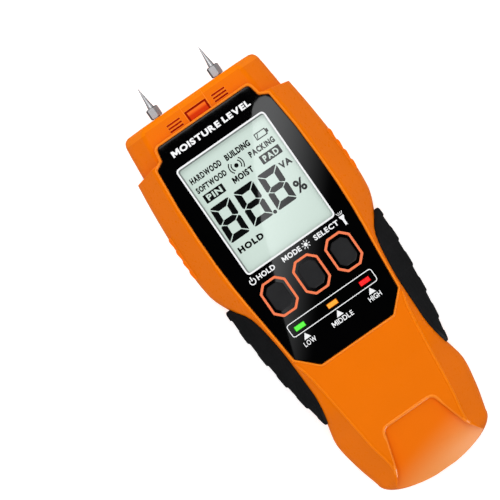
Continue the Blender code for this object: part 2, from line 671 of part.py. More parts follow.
def make_pin(side, sign):
    """A test pin, a needle on a hexagon with a stud, in its brass socket."""
    x = sign * PIN_X
    base = 8.7
    profile = [(0, 21.7), (0.12, 21.6), (0.5, 19.0), (1.12, 13.9), (1.7, 13.3), (1.7, 9.4), (1.25, 9.0),
               (1.25, 0.5), (0.9, 0), (0, 0)]
    pin = turned(f"pin_{side}", profile, STEEL, (x, 161.3, HEAD_AXIS_Z), TURN_TO_Y, 12)
    hexagon = Solid().rod(2.55, (x, 161.3 + base + GAP, HEAD_AXIS_Z), (x, 174.6, HEAD_AXIS_Z), 6)
    join(pin, f"pin_{side}_hexagon", hexagon)
    bore = PIN_BORE_RADIUS
    profile = [(0, 2.2), (bore, 2.2), (bore, 11.4), (2.4, 11.4), (2.4, 9.0), (3.2, 9.0), (3.2, 0), (0, 0)]
    turned(f"pin_socket_{side}", profile, BRASS, (x, 158.4, HEAD_AXIS_Z), TURN_TO_Y)


def make_head_parts():
    """The block that holds the pin sockets, and the torch with its lens."""
    block = add_part("pin_block", Solid().box((-20, 20), (158.4, 167.6), (10.5, 21.5)), GREY_PLASTIC)
    bores = Solid().rod(3.2, (0, 150, HEAD_AXIS_Z), (0, 175, HEAD_AXIS_Z))
    for x in (-PIN_X, PIN_X):
        bores.rod(3.5, (x, 150, HEAD_AXIS_Z), (x, 175, HEAD_AXIS_Z))
    cut(block, "block_bores", bores)
    for side, sign in (("left", -1), ("right", 1)):
        make_pin(side, sign)
    dome = [(2.5 * math.sin(a), 6.0 + 2.5 * math.cos(a)) for a in (math.pi / 8 * i for i in range(5))]
    profile = dome + [(2.5, 1.0), (2.9, 1.0), (2.9, 0), (0, 0)]
    turned("torch_led", profile, CLEAR_PLASTIC, (0, 158.9, HEAD_AXIS_Z), TURN_TO_Y)
    profile = [(0, 1.7), (2.4, 1.55), (LENS_RADIUS - 0.4, 1.3), (LENS_RADIUS, 1.0), (LENS_RADIUS, 0), (0, 0)]
    turned("torch_lens", profile, CLEAR_PLASTIC, (0, 168.2, HEAD_AXIS_Z), TURN_TO_Y)


def make_sensor():
    """The contactless sensing pad in the back, with its electrode behind it."""
    steps = [(0.0, PAD_HALF - 0.4, 0.4), (0.4, PAD_HALF, 0.0), (2.4, PAD_HALF, 0.0), (2.4, 19.4, -1.7),
             (3.5, 19.4, -1.7)]
    rings = []
    for z, half, inset in steps:
        height = PAD_Y[1] - PAD_Y[0] - 2 * inset
        rings.append([(x, y, z) for x, y in rectangle(2 * half, height, (0, sum(PAD_Y) / 2), 2.8)])
    add_part("sensor_pad", Solid().loft(rings), PAD_GREY)
    add_part("sensor_electrode", Solid().box((-16.5, 16.5), (110, 144), (3.8, 4.3)), COPPER)


def spring_points(x, start, end, turns=3):
    """Gives the points of a conical battery spring along +Y."""
    steps = 9 * turns
    points = []
    for i in range(steps + 1):
        t = i / steps
        angle = 2 * math.pi * turns * t
        radius = 3.4 - 1.5 * t
        points.append((x + radius * math.cos(angle), start + (end - start) * t,
                       BATTERY_Z + radius * math.sin(angle)))
    return points


def make_batteries():
    """The battery tray, its contacts, and three cells that lie side by side."""
    wall = 1.2
    half = TRAY_HALF + wall
    outer = Solid().box((-half, half), (TRAY_Y[0] - wall, TRAY_Y[1] + wall), (4.4, 15.2))
    tray = add_part("battery_tray", outer, GREY_PLASTIC)
    cut(tray, "tray_hollow", Solid().box((-TRAY_HALF, TRAY_HALF), TRAY_Y, (0, 13.8)))
    for end, y in (("bottom", TRAY_Y[0] + GAP), ("top", TRAY_Y[1] - GAP - 0.5)):
        add_part(f"contact_plate_{end}", Solid().box((-16.4, 16.4), (y, y + 0.5), (3.2, 12.8)), STEEL)
    low = TRAY_Y[0] + 2 * GAP + 0.5
    high = TRAY_Y[1] - 2 * GAP - 0.5
    spring_wire = 0.3
    length = BATTERY_LENGTH
    radius = BATTERY_RADIUS
    profile = [(0, length), (2.6, length), (2.75, length - 0.2), (2.75, length - 1.0), (4.7, length - 1.0),
               (radius, length - 1.5), (radius, 0.5), (4.7, 0), (0, 0)]
    for number, place in enumerate((-1, 0, 1), 1):
        x = place * BATTERY_PITCH
        flipped = place == 0
        turn = math.pi / 2 if flipped else -math.pi / 2
        start = low + length if flipped else high - length
        turned(f"battery_{number}", profile, BATTERY_WRAP, (x, start, BATTERY_Z), (turn, 0, 0))
        ends = (high, low + length + GAP) if flipped else (low, high - length - GAP)
        inward = -spring_wire if flipped else spring_wire
        points = spring_points(x, ends[0] + inward, ends[1] - inward)
        wire(f"battery_spring_{number}", points, spring_wire, STEEL)


def wire_route(stops, pieces=3):
    """Reads a smooth curve through a wire's stops."""
    spans = [float(i) for i in range(len(stops))]
    axes = [list(zip(spans, values)) for values in zip(*stops)]
    steps = (len(stops) - 1) * pieces
    return [tuple(smooth(axis, i / pieces) for axis in axes) for i in range(steps + 1)]


def make_wires():
    """The insulated leads between the board and what is not mounted on it."""
    mirrored_leads = [
        ("wire_pin_left", "wire_pin_right", PIN_LEAD, WIRE_WHITE, WIRE_WHITE),
        ("wire_battery_black", "wire_battery_red", BATTERY_LEAD, WIRE_BLACK, WIRE_RED),
    ]
    for left, right, stops, left_finish, right_finish in mirrored_leads:
        wire(right, wire_route(stops), WIRE_RADIUS, right_finish)
        wire(left, wire_route([(-x, y, z) for x, y, z in stops]), WIRE_RADIUS, left_finish)
    wire("wire_torch", wire_route(TORCH_LEAD), WIRE_RADIUS, WIRE_WHITE)
    wire("wire_sensor", wire_route(SENSOR_LEAD), WIRE_RADIUS, WIRE_WHITE)


def make_battery_door():
    """The door of the battery compartment, which slides off past the bottom end."""
    height = DOOR_Y[1] - DOOR_Y[0]
    rings = []
    for z, inset in ((0.0, 0.5), (0.5, 0.0), (DOOR_DEPTH, 0.0)):
        outline = rectangle(2 * (DOOR_HALF - inset), height - 2 * inset, (0, sum(DOOR_Y) / 2), 1.5)
        rings.append([(x, y, z) for x, y in outline])
    door = add_part("battery_door", Solid().loft(rings), ORANGE_ABS)
    grooves = Solid()
    for i in range(5):
        y = 11 + 2.4 * i
        grooves.box((-8, 8), (y - 0.5, y + 0.5), (-1, 0.7))
    cut(door, "door_grooves", grooves)


def make_cap():
    """The cap that covers head and pins, drawn straight off them along +Y."""
    stations = [150.0] + spread(156, 186, 6) + [188.6, 190.5, 192.0, CAP_TOP_Y]
    cap = add_part("cap", Solid().loft([shell_ring(CAP, y) for y in stations]), ORANGE_ABS)
    studs = Solid()
    for x in (-19.5, 19.5):
        studs.rod(2.0, (x, 188, 15), (x, CAP_TOP_Y + 1.0, 15), 16)
    join(cap, "cap_studs", studs)
    hollow = [shell_ring(CAP, y, WALL, True) for y in [148.0] + spread(156, 186, 6) + [188.0, 190.6]]
    cut(cap, "cap_hollow", Solid().loft(hollow))
    cut(cap, "cap_mouth", Solid().prism(shoulder_outline(GAP, False)[::-1], -5, 45))
    notch = round_corners([(26.4, 148, 0), (26.4, 155.8, 0.8), (23.6, 157.6, 0.8), (23.6, 162.2, 1.6),
                           (-23.6, 162.2, 1.6), (-23.6, 157.6, 0.8), (-26.4, 155.8, 0.8), (-26.4, 148, 0)])
    cut(cap, "cap_notch", Solid().prism(notch, 20, 45))
    recess = round_corners([(20.4, 186.0, 1.5), (-20.4, 186.0, 1.5), (-14.6, 166.5, 1.5),
                            (14.6, 166.5, 1.5)])
    cut(cap, "cap_front_recess", Solid().prism(recess, lambda y: 31.4 - 0.05 * (y - 166.5), 45))
    for part in [cap] + [tool for tool in CUTTERS.objects if tool.name.startswith("cap_")]:
        part.location.y += CAP_PULL * MM


def main():
    """Builds every piece of the meter."""
    make_front_shell()
    make_back_shell()
    make_grip("grip_left", -1)
    make_grip("grip_right", 1)
    make_front_panel()
    make_display()
    make_board()
    for name, x in KEY_X.items():
        make_key(name, x)
    for name, x in LIGHT_X.items():
        make_light(name, x)
    make_screws()
    make_head_parts()
    make_sensor()
    make_batteries()
    make_wires()
    make_battery_door()
    make_cap()


main()
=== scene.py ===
"""Looks of the moisture meter: fine shells, grips, prints, display and materials on the CAD frame.

Lengths are in millimetres and every Y is measured from the bottom end of the housing, as in the
CAD; MM and ORIGIN_Y turn them to the frame's metres. The frame's origin is on the back face,
halfway along the housing.
"""
import math

import bmesh
import bpy
from mathutils import Matrix, Vector


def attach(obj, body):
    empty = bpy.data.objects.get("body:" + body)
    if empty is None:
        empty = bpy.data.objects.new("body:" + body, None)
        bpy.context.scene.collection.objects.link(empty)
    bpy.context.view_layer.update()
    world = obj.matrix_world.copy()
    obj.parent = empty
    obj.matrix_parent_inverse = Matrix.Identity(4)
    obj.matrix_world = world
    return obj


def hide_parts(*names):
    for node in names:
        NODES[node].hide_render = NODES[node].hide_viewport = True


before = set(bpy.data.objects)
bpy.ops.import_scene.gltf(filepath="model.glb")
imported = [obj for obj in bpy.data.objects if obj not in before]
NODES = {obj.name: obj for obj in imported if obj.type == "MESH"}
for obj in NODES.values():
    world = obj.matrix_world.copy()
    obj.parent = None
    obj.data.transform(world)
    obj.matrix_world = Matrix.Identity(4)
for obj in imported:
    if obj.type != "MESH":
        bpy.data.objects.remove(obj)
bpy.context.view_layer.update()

MM = 0.001
ORIGIN_Y = 85.0

# Sizes shared with the CAD
GAP = 0.3
WALL = 2.2
PARTING_Z = 16.0
FRONT_Z = 32.6
PLATE_Z = 31.0
ROOF_Z = 29.4
SHOULDER_Y = 155.2
SHOULDER_HALF = 25.3
SHOULDER_SLOPE = 0.187
HEAD_TOP_Y = 170.0
CAP_TOP_Y = 193.0
CAP_PULL = 95.0
END_LENGTH = 9.6
END_HALF = 24.8
HOUSING_END_Y = 158.0
BACK_EDGE_INSET = 3.5
RIB_NOTCHES = (111.9, 116.2, 120.7, 125.3, 130.4)

HOUSING = {
    "side": [(9.6, 24.8), (20, 27.5), (30.5, 29.0), (40, 27.2), (52, 25.5), (66, 25.5), (80, 26.7),
             (88, 28.5), (95, 33.0), (104, 36.4), (113, 37.1), (125, 36.9), (141, 35.9), (160, 33.8)],
    "plateau": [(3, 19.8), (5, 19.2), (8, 17.7), (11.5, 16.5), (22, 18.2), (58, 22.6), (66, 24.5),
                (83, 26.3), (93, 27.3), (110, 28.5), (130, 28.5), (160, 26.4)],
    "front": [(0, 20), (3, 24.5), (8, 28), (18, 31), (30, 32.2), (45, FRONT_Z), (160, FRONT_Z)],
    "back": [(0, 5), (2, 2.2), (5, 0.4), (8, 0), (160, 0)],
    "low": [(0, 9), (12, 8), (33, 8), (46, 4.5), (86, 4.5), (100, 8), (160, 8)],
    "high": [(0, 14), (12, 16), (31, 16), (46, 28), (86, 28), (102, 16), (160, 16)],
    "floor": [(0, 4.1), (70, 4.1), (72, 2.0), (160, 2.0)],
    "roof": [(0, 4.5), (28, 4.5), (45, FRONT_Z - ROOF_Z), (160, FRONT_Z - ROOF_Z)],
}
HEAD = {
    "side": [(148, 31.5), (154, 31.4), (160, 30.9), (167.2, 30.2), (168.8, 29.6), (169.6, 28.8),
             (170, 27.8)],
    "plateau": [(148, 23.6), (166, 22.8), (170, 21.5)],
    "front": [(148, 29.6), (155, 29.5), (167.6, 28.6), (169.3, 27.7), (170, 26.8)],
    "back": [(148, 2.4), (167.8, 2.4), (169.3, 3.1), (170, 4.0)],
    "low": [(148, 8), (170, 8)],
    "high": [(148, 18), (170, 18)],
    "floor": [(148, 2.0), (170, 2.0)],
    "roof": [(148, 2.1), (170, 2.1)],
}
CAP = {
    "side": [(150, 34.9), (155, 34.5), (170, 33.0), (186.6, 30.6), (190.5, 28.0), (193, 25.2)],
    "plateau": [(150, 27.0), (186.6, 22.6), (193, 18.0)],
    "front": [(150, FRONT_Z), (160, 32.5), (186.6, 31.2), (190.5, 29.6), (193, 27.6)],
    "back": [(150, 0), (184, 0), (189, 0.8), (193, 3.4)],
    "low": [(150, 8), (193, 9)],
    "high": [(150, 16), (193, 16)],
    "floor": [(150, 1.9), (193, 1.9)],
    "roof": [(150, 2.0), (193, 2.0)],
}

PANEL_TOP_Z = 32.5
PANEL_SIDE = [(66.2, 23.5), (83, 25.0), (93, 26.0), (112, 27.1), (130, 27.0), (153.4, 25.2)]
PANEL_FOOT = (16.3, 59.2)
PANEL_NECK = (21.8, 155.2)
PANEL_HEAD = (20.7, 160.5)
WINDOW_HALF = 19.4
WINDOW_Y = (102.45, 149.05)
WINDOW_REACH = 1.2
KEY_X = {"power": -14.7, "mode": 0.0, "select": 14.65}
KEY_Y = 89.0
KEY_SIZE = (9.0, 11.7)
KEY_TOP_Z = 33.3
KEY_FOOT_Z = 31.9
KEY_CHAMFER = 2.2
LIGHT_X = {"low": -14.8, "middle": 0.0, "high": 14.7}
LIGHT_Y = 75.4
LIGHT_SIZE = (4.1, 1.6)
FACET_SIDE = [(-2, 22.5), (3.5, 20.4), (7, 17.9), (10.5, 16.2), (23.9, 11.9), (25.2, 11.3), (26.1, 10.2),
              (26.4, 9.0)]
FACET_CROWN = 0.005
GRIP_Y = (39.3, 95.3)
GRIP_OUTER = [(38.6, 27.9), (46.4, 29.7), (56.9, 31.6), (67.4, 33.0), (77.9, 34.1), (88.4, 34.8),
              (95.3, 34.9)]
GRIP_TEETH = 5
GRIP_PITCH = 10.85
GRIP_FIRST_Y = 43.3
GRIP_TOOTH = [(0.0, -0.05), (0.03, -0.16), (0.2, -0.2), (0.38, -0.24), (0.43, -0.2), (0.455, 0.1),
              (0.48, 0.3), (0.52, 0.31), (0.7, 0.24), (0.9, 0.14), (0.96, 0.1)]
DOOR_HALF = 19.0
DOOR_Y = (5.5, 68.0)
DOOR_DEPTH = 1.8
HEAD_AXIS_Z = 16.0
PIN_X = 13.85
HEXAGON_Y = (170.3, 174.6)
HEXAGON_TURN = math.radians(15)
LENS_RADIUS = 4.0
PAD_HALF = 17.7
PAD_Y = (109.0, 145.0)
TRAY_Y = (15.6, 66.2)
TRAY_HALF = 16.9
CELL_RADIUS = 5.2
CELL_LENGTH = 44.5
CELL_PITCH = 10.9
CELL_Z = 7.6
CASE_SCREWS = [(-25.5, 146.0, 0.8), (25.5, 146.0, 0.8), (-11.0, 10.0, 2.5), (11.0, 10.0, 2.5)]
SCREW_HEAD_RADIUS = 2.6
SCREW_HOLE_RADIUS = 1.55

# Sizes of the fine surface
CORNER_STEPS = 5
HOUSING_PITCH = 2.6
END_STEPS = 14
SHARP_ANGLE = math.radians(32)
EDGE_RADIUS = 0.35
EDGE_FOLD = (0.975, 0.89)
# At most this much of the paler edge colour is laid on folded edges: a painted edge highlight.
EDGE_HIGHLIGHT_MOST = 0.85
BEAD_RESOLUTION = 4
WELD = 0.004
SLIVER = 0.002
FINE_WELD = 0.0005
PRINT_Z = (PANEL_TOP_Z - 0.04, PANEL_TOP_Z + 0.03)
INK_Z = (PLATE_Z - 0.04, PLATE_Z + 0.04)


# Shape helpers
class Solid:
    """Collects closed solids, given in millimetres, in one mesh in the frame's metres."""

    def __init__(self, shift_y=0.0):
        self.bm = bmesh.new()
        self.shift_y = shift_y - ORIGIN_Y

    def place(self, point):
        """Gives a point's place in the frame."""
        return Vector((point[0], point[1] + self.shift_y, point[2])) * MM

    def box(self, x, y, z):
        """Adds a box from its (low, high) pairs."""
        size = [(high - low) * MM for low, high in (x, y, z)]
        centre = self.place([(high + low) / 2 for low, high in (x, y, z)])
        matrix = Matrix.Translation(centre) @ Matrix.Diagonal((*size, 1))
        bmesh.ops.create_cube(self.bm, size=1, matrix=matrix)
        return self

    def rod(self, radius, start, end, sides=48):
        """Adds a cylinder or a hexagon bar between two points."""
        axis = Vector(end) - Vector(start)
        turn = axis.to_track_quat("Z", "Y").to_matrix().to_4x4()
        middle = self.place((Vector(end) + Vector(start)) / 2)
        bmesh.ops.create_cone(self.bm, cap_ends=True, segments=sides, radius1=radius * MM,
                              radius2=radius * MM, depth=axis.length * MM,
                              matrix=Matrix.Translation(middle) @ turn)
        return self

    def loft(self, rings, endless=False):
        """Joins closed rings of points: into a solid with flat ends, or endlessly round."""
        loops = [[self.bm.verts.new(self.place(point)) for point in ring] for ring in rings]
        count = len(loops[0])
        for lower, upper in zip(loops, loops[1:] + loops[:1] if endless else loops[1:]):
            for i in range(count):
                j = (i + 1) % count
                self.bm.faces.new((lower[i], lower[j], upper[j], upper[i]))
        if not endless:
            self.bm.faces.new(reversed(loops[0]))
            self.bm.faces.new(loops[-1])
        return self

    def prism(self, outline, z_low, z_high):
        """Adds an upright prism; z_low is a height, or a function of y for a sloping foot."""
        foot = z_low if callable(z_low) else lambda y: z_low
        return self.loft([[(x, y, foot(y)) for x, y in outline], [(x, y, z_high) for x, y in outline]])

    def band(self, outer, inner, z):
        """Adds a flat band between two outlines with the same number of points."""
        sides = ((outer, z[0]), (outer, z[1]), (inner, z[1]), (inner, z[0]))
        return self.loft([[(x, y, height) for x, y in ring] for ring, height in sides], endless=True)

    def turned(self, profile, start, axis, sides=48):
        """Turns a (radius, height) profile about an axis from a start point."""
        turn = Vector(axis).to_track_quat("Z", "Y")
        angles = [2 * math.pi * i / sides for i in range(sides)]
        rings = []
        for radius, height in profile:
            ring = [(radius * math.cos(angle), radius * math.sin(angle), height) for angle in angles]
            rings.append([Vector(start) + turn @ Vector(point) for point in ring])
        return self.loft(rings)

    def mesh(self, name):
        """Gives the mesh, with its faces pointing out."""
        bmesh.ops.remove_doubles(self.bm, verts=self.bm.verts, dist=FINE_WELD * MM)
        bmesh.ops.recalc_face_normals(self.bm, faces=self.bm.faces)
        mesh = bpy.data.meshes.new(name)
        self.bm.to_mesh(mesh)
        self.bm.free()
        shade(mesh)
        return mesh


def shade(mesh):
    """Shades a mesh smooth, with sharp edges where it folds."""
    mesh.shade_smooth()
    mesh.set_sharp_from_angle(angle=SHARP_ANGLE)


def add_object(name, data):
    """Puts a mesh or curve in the scene."""
    obj = bpy.data.objects.new(name, data)
    bpy.context.scene.collection.objects.link(obj)
    return obj


def mesh_of(obj):
    """Turns a curve object into the mesh that it draws."""
    bpy.context.view_layer.update()
    graph = bpy.context.evaluated_depsgraph_get()
    mesh = bpy.data.meshes.new_from_object(obj.evaluated_get(graph))
    curve = obj.data
    bpy.data.objects.remove(obj)
    bpy.data.curves.remove(curve)
    return mesh


def combine(base, tools):
    """Applies (operation, solid) steps to a base mesh and gives the new mesh."""
    name = base.name
    obj = add_object(name, base)
    helpers = []
    for number, (operation, solid) in enumerate(tools):
        helper = add_object(f"helper_{number}", solid.mesh(f"helper_{number}"))
        modifier = obj.modifiers.new(f"step_{number}", "BOOLEAN")
        modifier.operation = operation
        modifier.object = helper
        helpers.append(helper)
    graph = bpy.context.evaluated_depsgraph_get()
    result = bpy.data.meshes.new_from_object(obj.evaluated_get(graph))
    result.name = name
    for spare in [obj] + helpers:
        data = spare.data
        bpy.data.objects.remove(spare)
        bpy.data.meshes.remove(data)
    clean(result)
    return result


def clean(mesh):
    """Welds what a Boolean left split and dissolves slivers."""
    bm = bmesh.new()
    bm.from_mesh(mesh)
    bmesh.ops.remove_doubles(bm, verts=bm.verts, dist=WELD * MM)
    bmesh.ops.dissolve_degenerate(bm, edges=bm.edges, dist=SLIVER * MM)
    bm.to_mesh(mesh)
    bm.free()
    shade(mesh)


def add_piece(name, mesh, material, body, nodes=()):
    """Adds a visible piece: its material, body and the CAD nodes it stands for."""
    piece = add_object(name, mesh)
    mesh.materials.clear()
    mesh.materials.append(material)
    even = piece.modifiers.new("even_normals", "WEIGHTED_NORMAL")
    even.keep_sharp = True
    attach(piece, body)
    if nodes:
        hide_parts(*nodes)
    return piece


def smooth(stations, at):
    """Reads a smooth curve through (position, value) stations, with no overshoot."""
    if at <= stations[0][0]:
        return stations[0][1]
    if at >= stations[-1][0]:
        return stations[-1][1]
    rises = [(b[1] - a[1]) / (b[0] - a[0]) for a, b in zip(stations, stations[1:])]
    slopes = [rises[0]]
    for before, after in zip(rises, rises[1:]):
        same_way = before * after > 0
        slopes.append(2 * before * after / (before + after) if same_way else 0.0)
    slopes.append(rises[-1])
    i = max(k for k, station in enumerate(stations[:-1]) if station[0] <= at)
    (start, low), (end, high) = stations[i], stations[i + 1]
    span = end - start
    t = (at - start) / span
    ends = low * (1 + 2 * t) * (1 - t) ** 2 + high * t * t * (3 - 2 * t)
    return ends + span * (slopes[i] * t * (1 - t) ** 2 - slopes[i + 1] * t * t * (1 - t))


def round_corners(corners, steps=CORNER_STEPS):
    """Rounds each (a, b, reach) corner of a closed outline with a short curve."""
    outline = []
    for i, (a, b, reach) in enumerate(corners):
        corner = Vector((a, b))
        back = Vector(corners[i - 1][:2]) - corner
        ahead = Vector(corners[(i + 1) % len(corners)][:2]) - corner
        start = corner + back.normalized() * min(reach, back.length * 0.45)
        end = corner + ahead.normalized() * min(reach, ahead.length * 0.45)
        for step in range(steps + 1):
            t = step / steps
            outline.append(tuple(start * (1 - t) ** 2 + corner * 2 * t * (1 - t) + end * t * t))
    return outline


def both_sides(right):
    """Closes the right half of an outline, given upwards, with its mirrored corners."""
    return right + [(-x, y, reach) for x, y, reach in reversed(right)]


def at_height(outline, z):
    """Lifts a flat outline to a height."""
    return [(x, y, z) for x, y in outline]


def spread(start, end, pitch):
    """Gives evenly spaced stations from start to end, about a pitch apart."""
    count = max(1, round((end - start) / pitch))
    return [start + (end - start) * i / count for i in range(count + 1)]


def half_width(shape, y):
    """Gives the greatest half-width of a shell at y, with the rounded end of the housing."""
    if y >= END_LENGTH:
        return smooth(shape["side"], y)
    return END_HALF * math.sqrt(1 - ((END_LENGTH - y) / END_LENGTH) ** 2)


def shell_ring(shape, y, inset=0.0, hollow=False):
    """Gives a shell's cross-section at y: flat back, upright sides and a front plateau."""
    side = half_width(shape, y)
    back_half = max(side - BACK_EDGE_INSET, side * 0.35)
    plateau = min(smooth(shape["plateau"], y), side * 0.9 if y < END_LENGTH else side - 0.6)
    back = smooth(shape["back"], y)
    front = smooth(shape["front"], y)
    low = smooth(shape["low"], y)
    high = smooth(shape["high"], y)
    if hollow:
        back += smooth(shape["floor"], y)
        front -= smooth(shape["roof"], y)
        low = max(low, back + 2.5)
        high = min(high, front - 1.0)
        back_half -= 0.8 * inset
        plateau -= 0.5 * inset
    else:
        plateau -= inset
        back_half -= inset
    side -= inset
    right = [(back_half, back, 3.0), (side, low, 4.0), (side, high, 4.0), (plateau, front, 1.6)]
    return [(x, y, z) for x, z in round_corners(both_sides(right))]


def housing_stations():
    """Gives the housing's stations: close together round its bottom end, then even."""
    angles = [math.radians(12.1 + 77.9 * i / END_STEPS) for i in range(END_STEPS)]
    end = [END_LENGTH * (1 - math.cos(angle)) for angle in angles]
    return end + spread(END_LENGTH, HOUSING_END_Y, HOUSING_PITCH)


def shoulder_outline(shift, beyond):
    """Gives the plan of all that lies beyond the shoulder line, or of all that lies before it."""
    drop = SHOULDER_SLOPE * (40 - SHOULDER_HALF)
    line = [(-40, SHOULDER_Y - drop), (-SHOULDER_HALF, SHOULDER_Y), (SHOULDER_HALF, SHOULDER_Y),
            (40, SHOULDER_Y - drop)]
    line = [(x, y + shift) for x, y in line]
    far = 200 if beyond else 140
    return line + [(40, far), (-40, far)]


def panel_outline(offset):
    """Gives the plan of the front panel, grown by an offset."""
    right = [(PANEL_FOOT[0] + offset * 0.4, PANEL_FOOT[1] - offset, 0.6)]
    right += [(smooth(PANEL_SIDE, y) + offset, y, 0.6) for y in (66.2, 74, 83, 93, 102, 112, 124, 138)]
    right += [(PANEL_SIDE[-1][1] + offset, PANEL_SIDE[-1][0] + offset, 0.6)]
    right += [(PANEL_NECK[0] + offset, PANEL_NECK[1] + offset, 0.6)]
    right += [(PANEL_HEAD[0] + offset, PANEL_HEAD[1] + offset, 1.6)]
    return round_corners(both_sides(right))


def field(half, y, grow=0.0, reach=0.0):
    """Gives a rectangle on the middle line from its half-width and Y range, grown all round."""
    return rectangle(2 * (half + grow), y[1] - y[0] + 2 * grow, (0, sum(y) / 2), reach)


def chamfered(width, height, chamfer, centre=(0.0, 0.0), reach=0.0):
    """Gives a rectangle with its four corners cut off, and those cuts' ends rounded."""
    a, b = width / 2, height / 2
    corners = [(a, chamfer - b), (a, b - chamfer), (a - chamfer, b), (chamfer - a, b),
               (-a, b - chamfer), (-a, chamfer - b), (chamfer - a, -b), (a - chamfer, -b)]
    corners = [(centre[0] + x, centre[1] + y, reach) for x, y in corners]
    return round_corners(corners, 3) if reach else [(x, y) for x, y, _ in corners]


def rectangle(width, height, centre=(0.0, 0.0), reach=0.0):
    """Gives a rectangle, with rounded corners where it has a reach."""
    a, b = width / 2, height / 2
    corners = [(a, -b), (a, b), (-a, b), (-a, -b)]
    corners = [(centre[0] + x, centre[1] + y) for x, y in corners]
    if reach:
        return round_corners([(x, y, reach) for x, y in corners])
    return corners


# Materials
def new_material(name, colour, roughness, metallic=0.0):
    """Makes a Principled material and gives it with its shader."""
    material = bpy.data.materials.new(name)
    material.use_nodes = True
    shader = material.node_tree.nodes["Principled BSDF"]
    shader.inputs["Base Color"].default_value = (*colour, 1)
    shader.inputs["Roughness"].default_value = roughness
    shader.inputs["Metallic"].default_value = metallic
    return material, shader


def add_node(owner, kind, inputs=(), **settings):
    """Adds a shader node to a material or world; its inputs are values, or sockets to link."""
    tree = owner.node_tree
    node = tree.nodes.new(kind)
    for name, value in settings.items():
        setattr(node, name, value)
    for name, value in dict(inputs).items():
        if isinstance(value, bpy.types.NodeSocket):
            tree.links.new(value, node.inputs[name])
        else:
            node.inputs[name].default_value = value
    return node


def noise(material, scale, detail=3.0, stretch=(1, 1, 1)):
    """Adds a noise texture in the object's own space and gives its value socket."""
    place = add_node(material, "ShaderNodeTexCoord").outputs["Object"]
    vector = add_node(material, "ShaderNodeMapping", {"Vector": place, "Scale": stretch}).outputs["Vector"]
    inputs = {"Vector": vector, "Scale": scale, "Detail": detail}
    return add_node(material, "ShaderNodeTexNoise", inputs).outputs["Fac"]


def bump(material, height, strength, distance):
    """Bumps the surface by a height socket."""
    inputs = {"Height": height, "Strength": strength, "Distance": distance * MM}
    normal = add_node(material, "ShaderNodeBump", inputs).outputs["Normal"]
    material.node_tree.links.new(normal, material.node_tree.nodes["Principled BSDF"].inputs["Normal"])


def map_range(owner, value, source, target, shape="LINEAR"):
    """Maps a value socket from one range to another."""
    inputs = {"Value": value, "From Min": source[0], "From Max": source[1], "To Min": target[0],
              "To Max": target[1]}
    return add_node(owner, "ShaderNodeMapRange", inputs, interpolation_type=shape).outputs["Result"]


def vary_roughness(material, value, low, high):
    """Lets a noise move the roughness between two values."""
    shader = material.node_tree.nodes["Principled BSDF"]
    result = map_range(material, value, (0.3, 0.7), (low, high))
    material.node_tree.links.new(result, shader.inputs["Roughness"])


def mix_colour(material, factor, first, second):
    """Mixes two colours, or sockets, by a factor socket and gives the result."""
    first, second = (c if isinstance(c, bpy.types.NodeSocket) else (*c, 1) for c in (first, second))
    inputs = {"Factor": factor, "A": first, "B": second}
    return add_node(material, "ShaderNodeMix", inputs, data_type="RGBA").outputs["Result"]


def paint(material, socket):
    """Links a colour to the shader."""
    shader = material.node_tree.nodes["Principled BSDF"]
    material.node_tree.links.new(socket, shader.inputs["Base Color"])


def edge_highlight_mask(material):
    """Gives a mask of folded edges, where a rounded normal leaves the surface's own: the painted edge
    highlight goes there.
    """
    rounded = add_node(material, "ShaderNodeBevel", {"Radius": EDGE_RADIUS * MM}, samples=4)
    surface = add_node(material, "ShaderNodeNewGeometry")
    inputs = {0: rounded.outputs["Normal"], 1: surface.outputs["Normal"]}
    likeness = add_node(material, "ShaderNodeVectorMath", inputs, operation="DOT_PRODUCT")
    return map_range(material, likeness.outputs["Value"], EDGE_FOLD, (0.0, EDGE_HIGHLIGHT_MOST))


def moulded(name, colour, edge_highlight_colour, roughness, grain=0.02, specular=0.3):
    """Moulded plastic: fine spark-eroded grain, slight blotches and paler edges, a painted edge highlight.
    """
    material, shader = new_material(name, colour, roughness)
    darker = tuple(c * 0.93 for c in colour)
    blotch = noise(material, 60, 2.0)
    base = mix_colour(material, blotch, colour, darker)
    paint(material, mix_colour(material, edge_highlight_mask(material), base, edge_highlight_colour))
    grain_value = noise(material, 5200, 2.0)
    bump(material, grain_value, 0.25, grain)
    vary_roughness(material, noise(material, 900, 3.0), roughness - 0.03, roughness + 0.04)
    shader.inputs["Specular IOR Level"].default_value = specular
    return material


def rubber(name, colour, roughness, grain=0.03):
    """Rubber: matt, with a fine grain, a faint sheen and dusty patches."""
    material, shader = new_material(name, colour, roughness)
    lighter = tuple(c * 1.6 + 0.002 for c in colour)
    paint(material, mix_colour(material, noise(material, 140, 4.0), colour, lighter))
    bump(material, noise(material, 3600, 3.0), 0.5, grain)
    vary_roughness(material, noise(material, 700, 2.0), roughness - 0.08, roughness + 0.08)
    shader.inputs["Specular IOR Level"].default_value = 0.08
    return material


def gloss(name, colour, roughness):
    """Glossy plastic or glass face: smooth, with the faintest wipe marks."""
    material, _ = new_material(name, colour, roughness)
    vary_roughness(material, noise(material, 220, 3.0, (1, 0.25, 1)), roughness * 0.8, roughness * 1.5)
    tint = tuple(min(1.0, c * 1.05 + 0.0005) for c in colour)
    paint(material, mix_colour(material, noise(material, 90, 2.0), colour, tint))
    return material


def metal(name, colour, roughness, stretch=(1, 1, 1)):
    """Turned or plated metal: fine lines along or round the piece."""
    material, _ = new_material(name, colour, roughness, 1.0)
    lines = noise(material, 2500, 3.0, stretch)
    darker = tuple(c * 0.8 for c in colour)
    paint(material, mix_colour(material, lines, colour, darker))
    bump(material, lines, 0.2, 0.01)
    vary_roughness(material, noise(material, 500, 3.0, stretch), roughness - 0.06, roughness + 0.1)
    return material


def ink(name, colour, roughness=0.35):
    """A printed film: even colour with a slight mottle."""
    material, _ = new_material(name, colour, roughness)
    darker = tuple(c * 0.94 for c in colour)
    paint(material, mix_colour(material, noise(material, 1200, 2.0), colour, darker))
    return material


